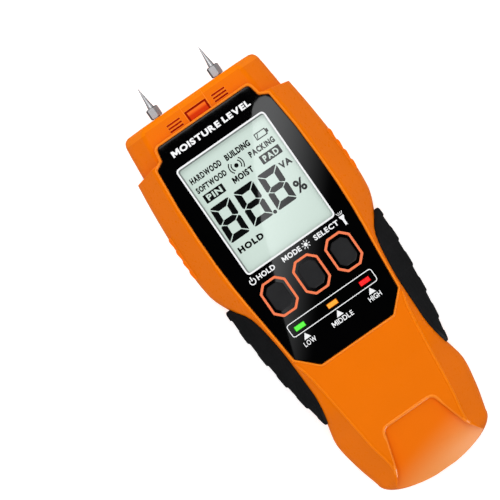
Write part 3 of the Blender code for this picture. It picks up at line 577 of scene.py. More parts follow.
def lit(name, colour, strength):
    """A lit light pipe, a little mottled."""
    material, shader = new_material(name, colour, 0.25)
    dim = tuple(c * 0.8 for c in colour)
    paint(material, mix_colour(material, noise(material, 1800, 2.0), colour, dim))
    shader.inputs["Emission Color"].default_value = (*colour, 1)
    shader.inputs["Emission Strength"].default_value = strength
    return material


def display_material():
    """The display's pale reflector: green-grey, with a faint weave of cells and a soft mottle."""
    pale = (0.6, 0.715, 0.652)
    material, _ = new_material("display_reflector", pale, 0.02)
    base = mix_colour(material, noise(material, 35, 2.0), pale, (0.612, 0.72, 0.665))
    paint(material, mix_colour(material, noise(material, 2400, 2.0), base, (0.582, 0.698, 0.634)))
    return material


def along_slope(material, slope):
    """Gives Y less slope times X, in the object's own space."""
    place = add_node(material, "ShaderNodeTexCoord").outputs["Object"]
    parts = add_node(material, "ShaderNodeSeparateXYZ", {"Vector": place}).outputs
    inputs = {0: parts["X"], 1: -slope, 2: parts["Y"]}
    return add_node(material, "ShaderNodeMath", inputs, operation="MULTIPLY_ADD").outputs["Value"]


def paint_light_along(material, slope, span, low, high, most=1.0):
    """Blends two colours over the base along Y less slope times X, between two places: painted light and
    shade, as the facet's sheen and the block's shade.
    """
    limits = [(y - ORIGIN_Y) * MM for y in span]
    factor = map_range(material, along_slope(material, slope), limits, (0.0, most), "SMOOTHSTEP")
    wavy = mix_colour(material, noise(material, 300, 2.0), high, tuple(c * 0.94 for c in high))
    paint(material, mix_colour(material, factor, low, wavy))
    return material


ORANGE = (0.82, 0.165, 0.0)
# The paler orange painted on folded edges: a painted edge highlight.
ORANGE_EDGE_HIGHLIGHT = (1.0, 0.31, 0.04)
MAT = {
    "orange": moulded("orange_abs", ORANGE, ORANGE_EDGE_HIGHLIGHT, 0.29, 0.006, 0.03),
    # The rim, lip and crease beads are paler than the housing: a painted highlight on their rounded tops.
    "rim": moulded("orange_rim_painted_highlight", (0.93, 0.23, 0.005), ORANGE_EDGE_HIGHLIGHT, 0.3, 0.006, 0.12),
    # The thumb facet turns pale salmon towards the housing's end: a painted sheen, on top of the low card's
    # real reflection.
    "facet": paint_light_along(moulded("orange_facet_painted_sheen", ORANGE, ORANGE_EDGE_HIGHLIGHT, 0.31, 0.004, 0.05),
                         0.26, (16.0, -1.0), (0.84, 0.16, 0.0), (0.95, 0.42, 0.135), 0.64),
    "lip": moulded("orange_lip_painted_highlight", (0.94, 0.235, 0.006), ORANGE_EDGE_HIGHLIGHT, 0.3, 0.004, 0.22),
    # The head's top fold in a paler orange: a painted highlight.
    "fold": moulded("orange_fold_painted_highlight", (0.88, 0.2, 0.0), ORANGE_EDGE_HIGHLIGHT, 0.3, 0.004, 0.05),
    "crease": moulded("orange_crease_painted_highlight", (0.87, 0.195, 0.0), ORANGE_EDGE_HIGHLIGHT, 0.3, 0.006, 0.08),
    "grip": rubber("grip_rubber", (0.0036, 0.0038, 0.0043), 0.65, 0.06),
    "key": rubber("key_rubber", (0.0112, 0.0113, 0.0122), 0.5, 0.015),
    "panel": gloss("panel_acrylic", (0.0005, 0.0005, 0.0006), 0.02),
    "display": display_material(),
    "white": ink("print_white", (0.86, 0.87, 0.88)),
    "ring": ink("print_orange", (0.88, 0.175, 0.05)),
    "segment": gloss("display_ink", (0.003, 0.0035, 0.0035), 0.02),
    # The centre block is redder, and darker red towards its foot: painted shade.
    "block": paint_light_along(moulded("catch_painted_shade", ORANGE, ORANGE_EDGE_HIGHLIGHT, 0.35, 0.006, 0.03),
                         0.0, (163.1, 164.5), (0.6, 0.035, 0.0), (0.86, 0.15, 0.01)),
    "groove": moulded("groove_shade", (0.5, 0.012, 0.0), (0.55, 0.016, 0.0), 0.6, 0.006, 0.03),
    "pin": metal("pin_steel", (0.72, 0.72, 0.74), 0.24, (1, 0.15, 1)),
    "steel": metal("plated_steel", (0.55, 0.55, 0.56), 0.3),
    "brass": metal("brass", (0.72, 0.47, 0.16), 0.28),
    "copper": metal("copper", (0.72, 0.32, 0.18), 0.3),
    "light_low": lit("light_green", (0.09, 0.86, 0.045), 0.35),
    "light_middle": lit("light_amber", (1.0, 0.36, 0.012), 0.25),
    "light_high": lit("light_red", (0.95, 0.001, 0.004), 0.3),
    "grey": moulded("inner_plastic", (0.12, 0.12, 0.13), (0.2, 0.2, 0.21), 0.5),
    "white_plastic": moulded("light_guide", (0.82, 0.84, 0.82), (0.9, 0.9, 0.9), 0.35),
    "pad": moulded("pad_plastic", (0.028, 0.03, 0.033), (0.07, 0.07, 0.075), 0.5, 0.03),
    "board": gloss("solder_mask", (0.01, 0.11, 0.03), 0.3),
    "chip": moulded("chip_black", (0.01, 0.01, 0.011), (0.03, 0.03, 0.03), 0.45),
    "window_shade": rubber("window_shade_painted", (0.2, 0.225, 0.215), 0.8),
    "zebra": rubber("zebra_rubber", (0.45, 0.45, 0.47), 0.6),
    "battery": gloss("battery_sleeve", (0.03, 0.09, 0.3), 0.2),
    "wire_white": gloss("wire_white", (0.75, 0.75, 0.75), 0.35),
    "wire_red": gloss("wire_red", (0.5, 0.01, 0.01), 0.35),
    "wire_black": gloss("wire_black", (0.01, 0.01, 0.01), 0.35),
}


def lens_material():
    """Clear plastic of the torch: milky, with faint rings."""
    material, shader = new_material("torch_lens", (0.86, 0.9, 0.95), 0.08)
    rings = noise(material, 900, 2.0)
    bump(material, rings, 0.1, 0.02)
    paint(material, mix_colour(material, rings, (0.86, 0.9, 0.95), (0.7, 0.76, 0.84)))
    shader.inputs["Coat Weight"].default_value = 0.6
    return material


MAT["lens"] = lens_material()


# Shells
def key_openings(clearance, z):
    """Gives the openings for the three keys."""
    solid = Solid()
    width, height = (size + 2 * clearance for size in KEY_SIZE)
    for x in KEY_X.values():
        solid.prism(chamfered(width, height, KEY_CHAMFER, (x, KEY_Y)), *z)
    return solid


def light_openings(clearance, z):
    """Gives the openings for the three lights."""
    solid = Solid()
    width, height = (size + 2 * clearance for size in LIGHT_SIZE)
    for x in LIGHT_X.values():
        solid.prism(rectangle(width, height, (x, LIGHT_Y)), *z)
    return solid


def head_bores():
    """Gives the bores through the top of the head for the pin sockets and the torch."""
    solid = Solid().rod(LENS_RADIUS + GAP, (0, 166, HEAD_AXIS_Z), (0, 172, HEAD_AXIS_Z))
    for x in (-PIN_X, PIN_X):
        solid.rod(2.8, (x, 166, HEAD_AXIS_Z), (x, 172, HEAD_AXIS_Z))
    return solid


def thumb_ribs():
    """Gives the four low ribs on each side of the housing, beside the display."""
    solid = Solid()
    for sign in (-1, 1):
        for low, high in zip(RIB_NOTCHES, RIB_NOTCHES[1:]):
            edge = min(half_width(HOUSING, low), half_width(HOUSING, high)) - 0.02
            top = half_width(HOUSING, high - 1) + 0.33
            corners = [(edge - 2.0, low + 0.1, 0), (edge, low + 0.1, 0.4), (top, high - 1.9, 1.2),
                       (top, high - 0.9, 0.5), (edge, high - 0.1, 0.3), (edge - 2.0, high - 0.1, 0)]
            solid.prism([(sign * x, y) for x, y in round_corners(corners, 3)], 8.5, 17.5)
    return solid


def housing_steps():
    """Gives the Boolean steps that both halves share."""
    body = Solid().loft([shell_ring(HOUSING, y, WALL, True) for y in [3.4, 5.2, 7.4] + spread(9.6, 152, 6)])
    stations = [148, 151, 154, 157, 160, 163.6, 167.2, 167.8, 168.3, 168.8, 169.2, 169.6, 169.85]
    stations += [HEAD_TOP_Y]
    head = Solid().loft([shell_ring(HEAD, y) for y in stations])
    inner = Solid().loft([shell_ring(HEAD, y, WALL, True) for y in (149, 154, 160, 166, 168)])
    return [
        ("UNION", thumb_ribs()),
        ("DIFFERENCE", Solid().prism(shoulder_outline(0, True), -1, 40)),
        ("UNION", head),
        ("DIFFERENCE", body),
        ("DIFFERENCE", inner),
        ("DIFFERENCE", head_bores()),
    ]


def head_marks():
    """Gives the grooves on the head's front and the channel round its centre block."""
    solid = Solid()
    for sign in (-1, 1):
        for y in (162.5, 163.8, 165.1):
            solid.box(sorted((sign * 7.2, sign * 13.1)), (y - 0.34, y + 0.34), (28.3, 33))
    channel = [(-4.8, 160.9), (-4.0, 160.9), (-4.0, 165.0), (4.0, 165.0), (4.0, 160.9), (4.8, 160.9),
               (4.8, 165.8), (-4.8, 165.8)]
    return solid.prism(channel, 27.9, 33)


def centre_land():
    """Gives the low land on the head's front, in which the centre block sits."""
    half = 5.1
    rings = []
    for y in (160.0, 163.0, 167.6, 168.6, 169.3):
        top = smooth(HEAD["front"], y) + 0.16
        rings.append([(-half, y, 26.5), (half, y, 26.5), (half, y, top), (-half, y, top)])
    return Solid().loft(rings)


def front_painted_light_slot(mesh, face):
    """Gives a front face's material slot: 0 housing, 1 centre block, 2 groove, 3 thumb facet, 4 head fold;
    1 and 2 take painted shade, 3 a painted sheen, 4 a painted highlight.
    """
    x, y, z = (value / MM for value in face.center)
    y += ORIGIN_Y
    corners = [mesh.vertices[i].co / MM for i in face.vertices]
    widest = max(abs(corner.x) for corner in corners)
    highest = max(corner.y for corner in corners) + ORIGIN_Y
    depth = smooth(HEAD["front"], y) - z
    rise = face.normal.z
    grooves = 7.0 < abs(x) < 13.3 and 162.0 < y < 165.6
    channel = abs(x) < 4.9 and 161.0 < y < 166.0
    wall = depth > 0.12 and abs(rise) < 0.5
    floor = depth > 0.5 and rise > 0.5
    # Walls and floors of the grooves and the channel take the dark red groove_shade: painted shade in the
    # recesses.
    if (grooves or channel) and z > 27.5 and (wall or floor):
        return 2
    # Faces of the head's top fold, turned towards the head's end, take the painted highlight.
    if y > 167.5 and face.normal.y > 0.2 and rise > 0.15:
        return 4
    # Faces of the thumb facet take its painted sheen.
    if y < 26.0 and widest < 22.6 and rise > 0.5 and z < facet_foot(x, y) + 0.1:
        return 3
    # Faces of the centre block take its painted shade.
    return 1 if widest < 4.1 and highest < 165.1 and y > 161.0 and z > 28.2 else 0


def facet_foot(x, y):
    """Gives the height of the hollow under the thumb: a crowned slope, steeper at its end."""
    return 23.5 + 0.3 * y - 0.019 * max(0.0, 13.0 - y) ** 2 - FACET_CROWN * x * x


def facet_cutter():
    """Gives the hollow under the thumb: a slope that curves down towards the housing's end."""
    rings = []
    for y in [-2.0] + [y for y in housing_stations() if y < 26.0] + [26.4]:
        half = smooth(FACET_SIDE, y)
        across = [half * i / 6 for i in range(-6, 7)]
        bottom = [(x, y, facet_foot(x, y)) for x in across]
        rings.append(bottom + [(half, y, 45), (-half, y, 45)])
    return Solid().loft(rings)


def make_front_shell():
    """The front half of the housing, with painted shade on the head's grooves, channel and centre block, a
    painted sheen on the thumb facet and a painted highlight on the head's top fold.
    """
    base = Solid().loft([shell_ring(HOUSING, y) for y in housing_stations()]).mesh("front_housing")
    tongue = round_corners(both_sides([(22.9, 151.6, 0), (22.9, 155.6, 0.5), (21.8, 161.5, 2.2)]))
    steps = housing_steps() + [
        ("DIFFERENCE", Solid().box((-50, 50), (-10, 200), (-10, PARTING_Z + GAP / 2))),
        ("UNION", centre_land()),
        ("DIFFERENCE", head_marks()),
        ("UNION", Solid().prism(tongue, 27.9, FRONT_Z)),
        ("DIFFERENCE", Solid().prism(panel_outline(0.2), PLATE_Z, 40)),
        ("DIFFERENCE", Solid().prism(rectangle(42.8, 50.8, (0, 125.8), 1.0), 26, 36)),
        ("DIFFERENCE", key_openings(0.3, (26, 36))),
        ("DIFFERENCE", light_openings(0.25, (26, 36))),
        ("DIFFERENCE", facet_cutter()),
    ]
    mesh = combine(base, steps)
    add_piece("front_housing", mesh, MAT["orange"], "meter", ["front_shell"])
    for name in ("block", "groove", "facet", "fold"):
        mesh.materials.append(MAT[name])
    for face in mesh.polygons:
        face.material_index = front_painted_light_slot(mesh, face)


def make_back_shell():
    """The back half of the housing, with door track, pad opening and screw seats."""
    base = Solid().loft([shell_ring(HOUSING, y) for y in housing_stations()]).mesh("back_housing")
    bosses = Solid()
    holes = Solid()
    seats = Solid()
    for x, y, head_z in CASE_SCREWS:
        bosses.rod(4.0, (x, y, head_z + 0.7), (x, y, PARTING_Z - GAP / 2))
        holes.rod(SCREW_HOLE_RADIUS, (x, y, head_z + 1.0), (x, y, PARTING_Z + 5))
        seats.rod(SCREW_HEAD_RADIUS + GAP, (x, y, -3), (x, y, head_z + 1.9))
    track = rectangle(2 * (DOOR_HALF + GAP), DOOR_Y[1] + GAP + 6, (0, (DOOR_Y[1] + GAP - 6) / 2))
    opening = rectangle(2 * TRAY_HALF, TRAY_Y[1] - TRAY_Y[0] - 0.4, (0, sum(TRAY_Y) / 2))
    pad = field(PAD_HALF, PAD_Y, GAP, 3)
    steps = housing_steps() + [
        ("DIFFERENCE", Solid().box((-50, 50), (-10, 200), (PARTING_Z - GAP / 2, 60))),
        ("UNION", bosses),
        ("DIFFERENCE", holes),
        ("DIFFERENCE", seats),
        ("DIFFERENCE", Solid().prism(track, -5, DOOR_DEPTH + GAP)),
        ("DIFFERENCE", Solid().prism(opening, -5, 8)),
        ("DIFFERENCE", Solid().prism(pad, -5, 8)),
    ]
    mesh = combine(base, steps)
    add_piece("back_housing", mesh, MAT["orange"], "meter", ["back_shell"])


def sweep(name, points, radius, material, closed=False):
    """Runs a round orange bead through points in millimetres."""
    curve = bpy.data.curves.new(name, "CURVE")
    curve.dimensions = "3D"
    curve.bevel_depth = radius * MM
    curve.bevel_resolution = BEAD_RESOLUTION
    curve.use_fill_caps = True
    spline = curve.splines.new("POLY")
    spline.points.add(len(points) - 1)
    for place, (x, y, z) in zip(spline.points, points):
        place.co = (x * MM, (y - ORIGIN_Y) * MM, z * MM, 1)
    spline.use_cyclic_u = closed
    mesh = mesh_of(add_object(name, curve))
    clean(mesh)
    mesh.name = name
    add_piece(name, mesh, MAT[material], "meter")


def make_beads():
    """The raised rim round the panel, the creases of the waist and the lip round the thumb facet, each in a
    paler orange as a painted highlight.
    """
    rim = [(x, y, FRONT_Z - 0.12) for x, y in panel_outline(0.62)]
    sweep("panel_rim", rim, 0.42, "rim", closed=True)
    for side, sign in (("left", -1), ("right", 1)):
        crease = []
        for y in spread(11.0, 64.5, 1.5):
            sink = 0.57 + 0.5 * max(0.0, 1 - (64.5 - y) / 5.0)
            x = sign * (smooth(HOUSING["plateau"], y) - 0.15)
            crease.append((x, y, smooth(HOUSING["front"], y) - sink))
        sweep(f"waist_crease_{side}", crease, 0.58, "crease")
    edge = round_corners(both_sides([(17.2, 8.6, 0), (16.35, 10.4, 1), (11.4, 26.5, 2.5)]), 8)
    lip = [(x, y, smooth(HOUSING["front"], y) - 0.52 - 0.25 * max(0.0, 12.0 - y)) for x, y in edge]
    sweep("thumb_lip", lip, 0.74, "lip")


# Grips
def grip_ring(sign, y, rise):
    """Gives a grip's cross-section at y, before the housing is cut out of it."""
    outer = smooth(GRIP_OUTER, y) + rise
    high = smooth(HOUSING["high"], y) - 0.4
    edge = min(half_width(HOUSING, y) + 1.0, outer - 0.3)
    corners = [(18, 3.2, 0), (outer - 3.2, 3.2, 2.0), (outer, 8, 2.5), (outer, min(18, high - 1.5), 3),
               (edge, high, 1.0), (18, high, 0)]
    return [(sign * x, y, z) for x, z in round_corners(corners)]


def make_grip(side, sign):
    """A rubber grip, whose stepped edge holds the hand."""
    rings = [grip_ring(sign, GRIP_Y[0], 0.0), grip_ring(sign, GRIP_Y[0] + 0.5, 0.16),
             grip_ring(sign, GRIP_Y[0] + 1.5, 0.22), grip_ring(sign, GRIP_FIRST_Y - 0.4, 0.1)]
    for tooth in range(GRIP_TEETH):
        for part, rise in GRIP_TOOTH:
            y = GRIP_FIRST_Y + (tooth + part) * GRIP_PITCH
            if y < GRIP_Y[1] - 0.8:
                rings.append(grip_ring(sign, y, rise))
    rings += [grip_ring(sign, GRIP_Y[1] - 0.4, 0.05), grip_ring(sign, GRIP_Y[1], -0.3)]
    base = Solid().loft(rings).mesh(f"grip_skin_{side}")
    waist = [shell_ring(HOUSING, y, -GAP * 0.5) for y in housing_stations() if 30 < y < 106]
    mesh = combine(base, [("DIFFERENCE", Solid().loft(waist))])
    add_piece(f"grip_skin_{side}", mesh, MAT["grip"], "meter", [f"grip_{side}"])


# Panel and prints
def make_panel():
    """The black panel, its edges just broken."""
    outline = panel_outline(0)
    rings = [at_height(outline, PLATE_Z + GAP), at_height(outline, PANEL_TOP_Z - 0.18),
             at_height(panel_outline(-0.18), PANEL_TOP_Z)]
    base = Solid().loft(rings).mesh("panel_lens")
    window = field(WINDOW_HALF, WINDOW_Y, 0, WINDOW_REACH)
    through = (28, 36)
    steps = [
        ("DIFFERENCE", Solid().prism(window, *through)),
        ("DIFFERENCE", key_openings(0.25, through)),
        ("DIFFERENCE", light_openings(0.2, through)),
    ]
    add_piece("panel_lens", combine(base, steps), MAT["panel"], "meter", ["front_panel"])


def letter_mesh(letter, weight):
    """Gives one letter of the built-in plain font, thickened by a weight, as a thin solid."""
    if letter == "M":
        stem = 0.1 + 1.7 * weight
        width, height, foot = 0.72 + 2 * weight, 0.69 + 2 * weight, 0.12
        half, lean, notch = width / 2, stem * 0.42, height - 2.1 * stem
        outline = [(0, 0), (stem, 0), (stem, notch), (half - lean, foot), (half + lean, foot),
                   (width - stem, notch), (width - stem, 0), (width, 0), (width, height),
                   (width - 1.2 * stem, height), (half, foot + 1.7 * stem), (1.2 * stem, height),
                   (0, height)]
        mesh = Solid(ORIGIN_Y).prism(outline, -0.05, 0.05).mesh("letter")
        mesh.transform(Matrix.Scale(1 / MM, 4))
        return mesh
    curve = bpy.data.curves.new("letter", "FONT")
    curve.body = letter
    curve.size = 1.0
    curve.offset = weight
    curve.extrude = 0.05
    curve.resolution_u = 4
    return mesh_of(add_object("letter", curve))


def add_text(solid, words, x, y, z, weight, gap=0.085):
    """Sets words letter by letter, with even gaps, to fill x and y ranges."""
    pieces = []
    cursor = 0.0
    for letter in words:
        if letter == " ":
            cursor += 0.26
            continue
        mesh = letter_mesh(letter, weight)
        low = min(v.co.x for v in mesh.vertices)
        mesh.transform(Matrix.Translation((cursor - low, -weight if letter == "M" else 0.0, 0)))
        cursor = max(v.co.x for v in mesh.vertices) + gap
        pieces.append(mesh)
    length = cursor - gap
    foot = min(v.co.y for mesh in pieces for v in mesh.vertices)
    rise = max(v.co.y for mesh in pieces for v in mesh.vertices) - foot
    for mesh in pieces:
        for vertex in mesh.vertices:
            u, v = vertex.co.x / length, (vertex.co.y - foot) / rise
            height = z[1] if vertex.co.z > 0 else z[0]
            vertex.co = solid.place((x[0] + (x[1] - x[0]) * u, y[0] + (y[1] - y[0]) * v, height))
        solid.bm.from_mesh(mesh)
        bpy.data.meshes.remove(mesh)


def arc_points(centre, radius, start, end, steps):
    """Gives points on an arc, in degrees."""
    points = []
    for i in range(steps + 1):
        angle = math.radians(start + (end - start) * i / steps)
        points.append((centre[0] + radius * math.cos(angle), centre[1] + radius * math.sin(angle)))
    return points


def add_arc(solid, centre, radius, width, start, end, z, steps=20):
    """Adds a flat arc of a given line width."""
    outer = arc_points(centre, radius + width / 2, start, end, steps)
    inner = arc_points(centre, radius - width / 2, start, end, steps)
    solid.prism(outer + inner[::-1], *z)


def add_disc(solid, centre, radius, z):
    """Adds a flat disc."""
    solid.prism(arc_points(centre, radius, 0, 345, 23), *z)


def add_line(solid, start, end, width, z):
    """Adds a flat straight line."""
    along = (Vector(end) - Vector(start)).normalized() * width / 2
    across = Vector((-along.y, along.x))
    corners = [Vector(start) - across, Vector(end) - across, Vector(end) + across, Vector(start) + across]
    solid.prism([tuple(c) for c in corners], *z)


def add_outline(solid, centre, width, height, line, reach, z):
    """Adds a rounded frame of a given line width."""
    outer = rectangle(width, height, centre, reach)
    inner = rectangle(width - 2 * line, height - 2 * line, centre, max(reach - line, 0.2))
    solid.band(outer, inner, z)


def make_white_prints():
    """The title, the window frame, the key names with their signs, and the level names."""
    solid = Solid()
    add_text(solid, "MOISTURE LEVEL", (-17.5, 17.6), (153.85, 156.4), PRINT_Z, 0.048)
    outer = rectangle(2 * 20.05, 47.95, (0, 125.75), 1.9)
    solid.band(outer, field(WINDOW_HALF, WINDOW_Y, 0, WINDOW_REACH), PRINT_Z)
    for words, x in (("HOLD", (-17.6, -9.7)), ("MODE", (-6.0, 2.1)), ("SELECT", (8.3, 19.2))):
        add_text(solid, words, x, (98.3, 100.4), PRINT_Z, 0.035)
    add_arc(solid, (-19.7, 99.2), 1.15, 0.42, 125, 415, PRINT_Z)
    add_line(solid, (-19.7, 99.4), (-19.7, 101.1), 0.45, PRINT_Z)
    lamp = Vector((4.5, 99.3))
    add_disc(solid, lamp, 0.75, PRINT_Z)
    for i in range(8):
        ray = Vector((math.cos(math.pi * i / 4), math.sin(math.pi * i / 4)))
        add_line(solid, lamp + ray * 1.0, lamp + ray * 1.75, 0.28, PRINT_Z)
    torch = [(20.35, 100.6), (22.45, 100.6), (22.45, 100.1), (21.85, 99.0), (21.85, 96.7), (20.95, 96.7),
             (20.95, 99.0), (20.35, 100.1)]
    solid.prism(torch[::-1], *PRINT_Z)
    for lean in (-0.55, -0.18, 0.18, 0.55):
        add_line(solid, (21.4 + lean * 1.2, 101.0), (21.4 + lean * 2.3, 102.2), 0.22, PRINT_Z)
    add_outline(solid, (0, 75.65), 38.5, 5.5, 0.32, 1.3, PRINT_Z)
    names = {"low": ("LOW", 5.2), "middle": ("MIDDLE", 9.2), "high": ("HIGH", 5.4)}
    for name, (words, width) in names.items():
        x = LIGHT_X[name]
        solid.prism([(x - 1.5, 70.1), (x + 1.5, 70.1), (x, 72.45)], *PRINT_Z)
        add_text(solid, words, (x - width / 2, x + width / 2), (67.6, 69.6), PRINT_Z, 0.02, 0.1)
    mesh = solid.mesh("panel_prints_white")
    add_piece("panel_prints_white", mesh, MAT["white"], "meter")


def make_key_rings():
    """The orange ring printed round each key."""
    solid = Solid()
    for x in KEY_X.values():
        outer = chamfered(11.5, 14.9, 2.9, (x, KEY_Y), 0.3)
        inner = chamfered(9.7, 13.1, 2.45, (x, KEY_Y), 0.3)
        solid.band(outer, inner, (PRINT_Z[0], PRINT_Z[1] + 0.08))
    add_piece("panel_prints_orange", solid.mesh("panel_prints_orange"), MAT["ring"], "meter")


# Display
def digit(solid, left, bottom, width, height, bar, cut, z):
    """Adds the seven mitred bars of a digit, all lit and slightly slanted."""
    middle = height / 2
    half = bar / 2
    clip = 0.75
    slant = 0.035
    top = [(clip, height), (width - clip, height), (width - cut, height - 0.35),
           (width - bar - cut, height - bar), (bar + cut, height - bar), (cut, height - 0.35)]
    centre = [(cut + 0.9, middle), (bar + 0.1, middle + half - cut / 2),
              (width - bar - 0.1, middle + half - cut / 2), (width - cut - 0.9, middle),
              (width - bar - 0.1, middle - half + cut / 2), (bar + 0.1, middle - half + cut / 2)]
    upright = [(0, height - clip), (bar - cut, height - bar - cut), (bar - cut, middle + half),
               (0.55, middle + cut), (0, middle + cut + 0.6)]

    def flip_x(points):
        return [(width - x, y) for x, y in reversed(points)]

    def flip_y(points):
        return [(x, height - y) for x, y in reversed(points)]

    bars = [top, flip_y(top), centre, upright, flip_x(upright), flip_y(upright)]
    for points in bars + [flip_x(flip_y(upright))]:
        solid.prism([(left + x + slant * y, bottom + y) for x, y in points], *z)


def make_display_ink():
    """The display's digits, legends and signs, all shown as in a self-test."""
    solid = Solid()
    for left in (-18.2, -7.5, 3.3):
        digit(solid, left, 115.4, 8.7, 15.2, 2.5, 0.17, INK_Z)
    add_disc(solid, (2.1, 115.9), 0.75, INK_Z)
    upper, lower = (141.6, 144.1), (137.5, 139.9)
    legends = [
        ("HARDWOOD", (-17.7, -4.0), upper, 0.05, 0.07), ("BUILDING", (-1.9, 9.0), upper, 0.05, 0.07),
        ("SOFTWOOD", (-17.7, -4.5), lower, 0.05, 0.07), ("PACKING", (6.2, 17.4), lower, 0.05, 0.07),
        ("MOIST", (-4.3, 4.6), (132.9, 135.4), 0.052, 0.085),
        ("VA", (13.2, 18.2), (127.4, 130.1), 0.045, -0.05),
        ("%", (13.3, 17.6), (116.2, 121.3), 0.028, 0.085),
        ("HOLD", (-17.5, -6.5), (110.2, 112.7), 0.06, 0.12),
    ]
    for words, x, y, weight, gap in legends:
        add_text(solid, words, x, y, INK_Z, weight, gap)
    sound = (0.1, 138.4)
    add_disc(solid, sound, 0.85, INK_Z)
    for radius, half in ((2.0, 48), (3.0, 45)):
        for turn in (0, 180):
            add_arc(solid, sound, radius, 0.42, turn - half, turn + half, INK_Z, 12)
    add_outline(solid, (14.2, 142.8), 4.9, 2.7, 0.38, 0.2, INK_Z)
    solid.box((16.65, 17.4), (142.1, 143.5), INK_Z)
    add_line(solid, (12.4, 141.9), (13.2, 143.7), 0.3, INK_Z)
    for words, x in (("PIN", (-17.0, -8.3)), ("PAD", (8.6, 17.4))):
        add_plate(solid, words, x, (132.7, 136.2), INK_Z)
    mesh = solid.mesh("display_segments")
    add_piece("display_segments", mesh, MAT["segment"], "meter")


def add_plate(solid, words, x, y, z):
    """Adds a dark plate with words left clear in it."""
    outline = rectangle(x[1] - x[0], y[1] - y[0], ((x[0] + x[1]) / 2, (y[0] + y[1]) / 2), 0.3)
    plate = Solid().prism(outline, *z)
    letters = Solid()
    across, up = (x[0] + 1.1, x[1] - 1.1), (y[0] + 0.55, y[1] - 0.55)
    add_text(letters, words, across, up, (z[0] - 0.5, z[1] + 0.5), 0.04, 0.13)
    bmesh.ops.remove_doubles(letters.bm, verts=letters.bm.verts, dist=FINE_WELD * MM)
    mesh = combine(plate.mesh("plate"), [("DIFFERENCE", letters)])
    solid.bm.from_mesh(mesh)
    bpy.data.meshes.remove(mesh)


# Keys and lights
def make_painted_window_shadow():
    """A grey foam band under the window's edge, set off towards the top and left so that it shows there as
    the painted shadow inside the window.
    """
    middle = sum(WINDOW_Y) / 2
    height = WINDOW_Y[1] - WINDOW_Y[0]
    outer = rectangle(2 * WINDOW_HALF + 0.8, height + 0.8, (0, middle), 1.0)
    # The inner edge is set right and down, so the band shows wider along the top and left: painted shadow.
    inner = rectangle(2 * WINDOW_HALF - 0.5, height - 0.5, (0.3, middle - 0.3), 0.9)
    solid = Solid().band(outer, inner, (PLATE_Z + 0.05, PLATE_Z + 0.27))
    add_piece("display_painted_shadow", solid.mesh("display_painted_shadow"), MAT["window_shade"], "meter")


def make_keys():
    """The three keys: a domed top with rounded edges on a foot painted the panel's black, as painted shade
    in the gap round the top.
    """
    width, height = KEY_SIZE
    steps = [(28.0, 2.0), (29.1, 2.0), (29.1, 0.0), (KEY_FOOT_Z, 0.0), (KEY_FOOT_Z, -1.25)]
    dome = [(0.5, -1.3), (0.3, -1.5), (0.17, -1.9), (0.08, -2.6), (0.02, -3.8), (0.0, -5.5)]
    steps += [(KEY_TOP_Z - drop, grow) for drop, grow in dome]
    for name, x in KEY_X.items():
        rings = []
        for z, grow in steps:
            outline = chamfered(width + grow, height + grow, KEY_CHAMFER + 0.3 * grow, (x, KEY_Y), 0.35)
            rings.append(at_height(outline, z))
        mesh = Solid().loft(rings).mesh(f"key_top_{name}")
        add_piece(f"key_top_{name}", mesh, MAT["key"], f"key_{name}", [f"key_{name}"])
        # The foot, down in the gap round the top, takes the panel's black: painted shade.
        mesh.materials.append(MAT["panel"])
        for face in mesh.polygons:
            if max(mesh.vertices[i].co.z for i in face.vertices) < (KEY_FOOT_Z + 0.1) * MM:
                face.material_index = 1


# Head pieces
def make_pins():
    """The two test pins, each turned from its stud's thread to its tip, with a hexagon on it."""
    thread = []
    for i in range(18):
        thread += [(1.25, 1.6 + 0.45 * i), (1.02, 1.82 + 0.45 * i)]
    needle = [(1.16, 174.0), (1.16, 174.7), (1.12, 175.2), (0.92, 176.3), (0.62, 178.6), (0.34, 181.2),
              (0.16, 182.7), (0.02, 183.0)]
    profile = [(0.8, 1.0), (1.25, 1.4)] + thread + [(1.25, 9.9), (1.25, 14.0), (1.16, 14.0)]
    profile += [(radius, y - 160.0) for radius, y in needle]
    chamfers = [(2.1, 0), (2.6, 0.35), (2.6, 3.9), (1.9, 4.3)]
    for side, sign in (("left", -1), ("right", 1)):
        x = sign * PIN_X
        solid = Solid().turned(profile, (x, 160.3, HEAD_AXIS_Z), (0, 1, 0), 32)
        base = solid.mesh(f"pin_needle_{side}")
        foot, top = ((x, y, HEAD_AXIS_Z) for y in HEXAGON_Y)
        hexagon = Solid().rod(2.55, foot, top, 6).mesh(f"hexagon_{side}")
        axis = Matrix.Translation((x * MM, 0, HEAD_AXIS_Z * MM))
        hexagon.transform(axis @ Matrix.Rotation(HEXAGON_TURN, 4, "Y") @ axis.inverted())
        cone = Solid().turned(chamfers, foot, (0, 1, 0))
        hexagon = combine(hexagon, [("INTERSECT", cone)])
        joined = Solid()
        joined.bm.from_mesh(hexagon)
        mesh = combine(base, [("UNION", joined)])
        add_piece(f"pin_needle_{side}", mesh, MAT["pin"], "meter", [f"pin_{side}"])


def make_torch():
    """The torch's lens, domed, with a ring round it."""
    profile = [(4.0, 0), (4.0, 1.0), (3.9, 1.22), (3.6, 1.36), (3.4, 1.3), (3.3, 1.15), (2.9, 1.3),
               (2.2, 1.48), (1.4, 1.6), (0.6, 1.68), (0.05, 1.7)]
    mesh = Solid().turned(profile, (0, 168.2, HEAD_AXIS_Z), (0, 1, 0)).mesh("torch_window")
    add_piece("torch_window", mesh, MAT["lens"], "meter", ["torch_lens"])


# Back pieces
def screw_cross(x, y, z_low, z_high):
    """Gives the cross recess of a screw head."""
    a, b = 1.4, 0.35
    outline = [(a, -b), (a, b), (b, b), (b, a), (-b, a), (-b, b), (-a, b), (-a, -b), (-b, -b), (-b, -a),
               (b, -a), (b, -b)]
    return Solid().prism([(x + u, y + v) for u, v in outline], z_low, z_high)


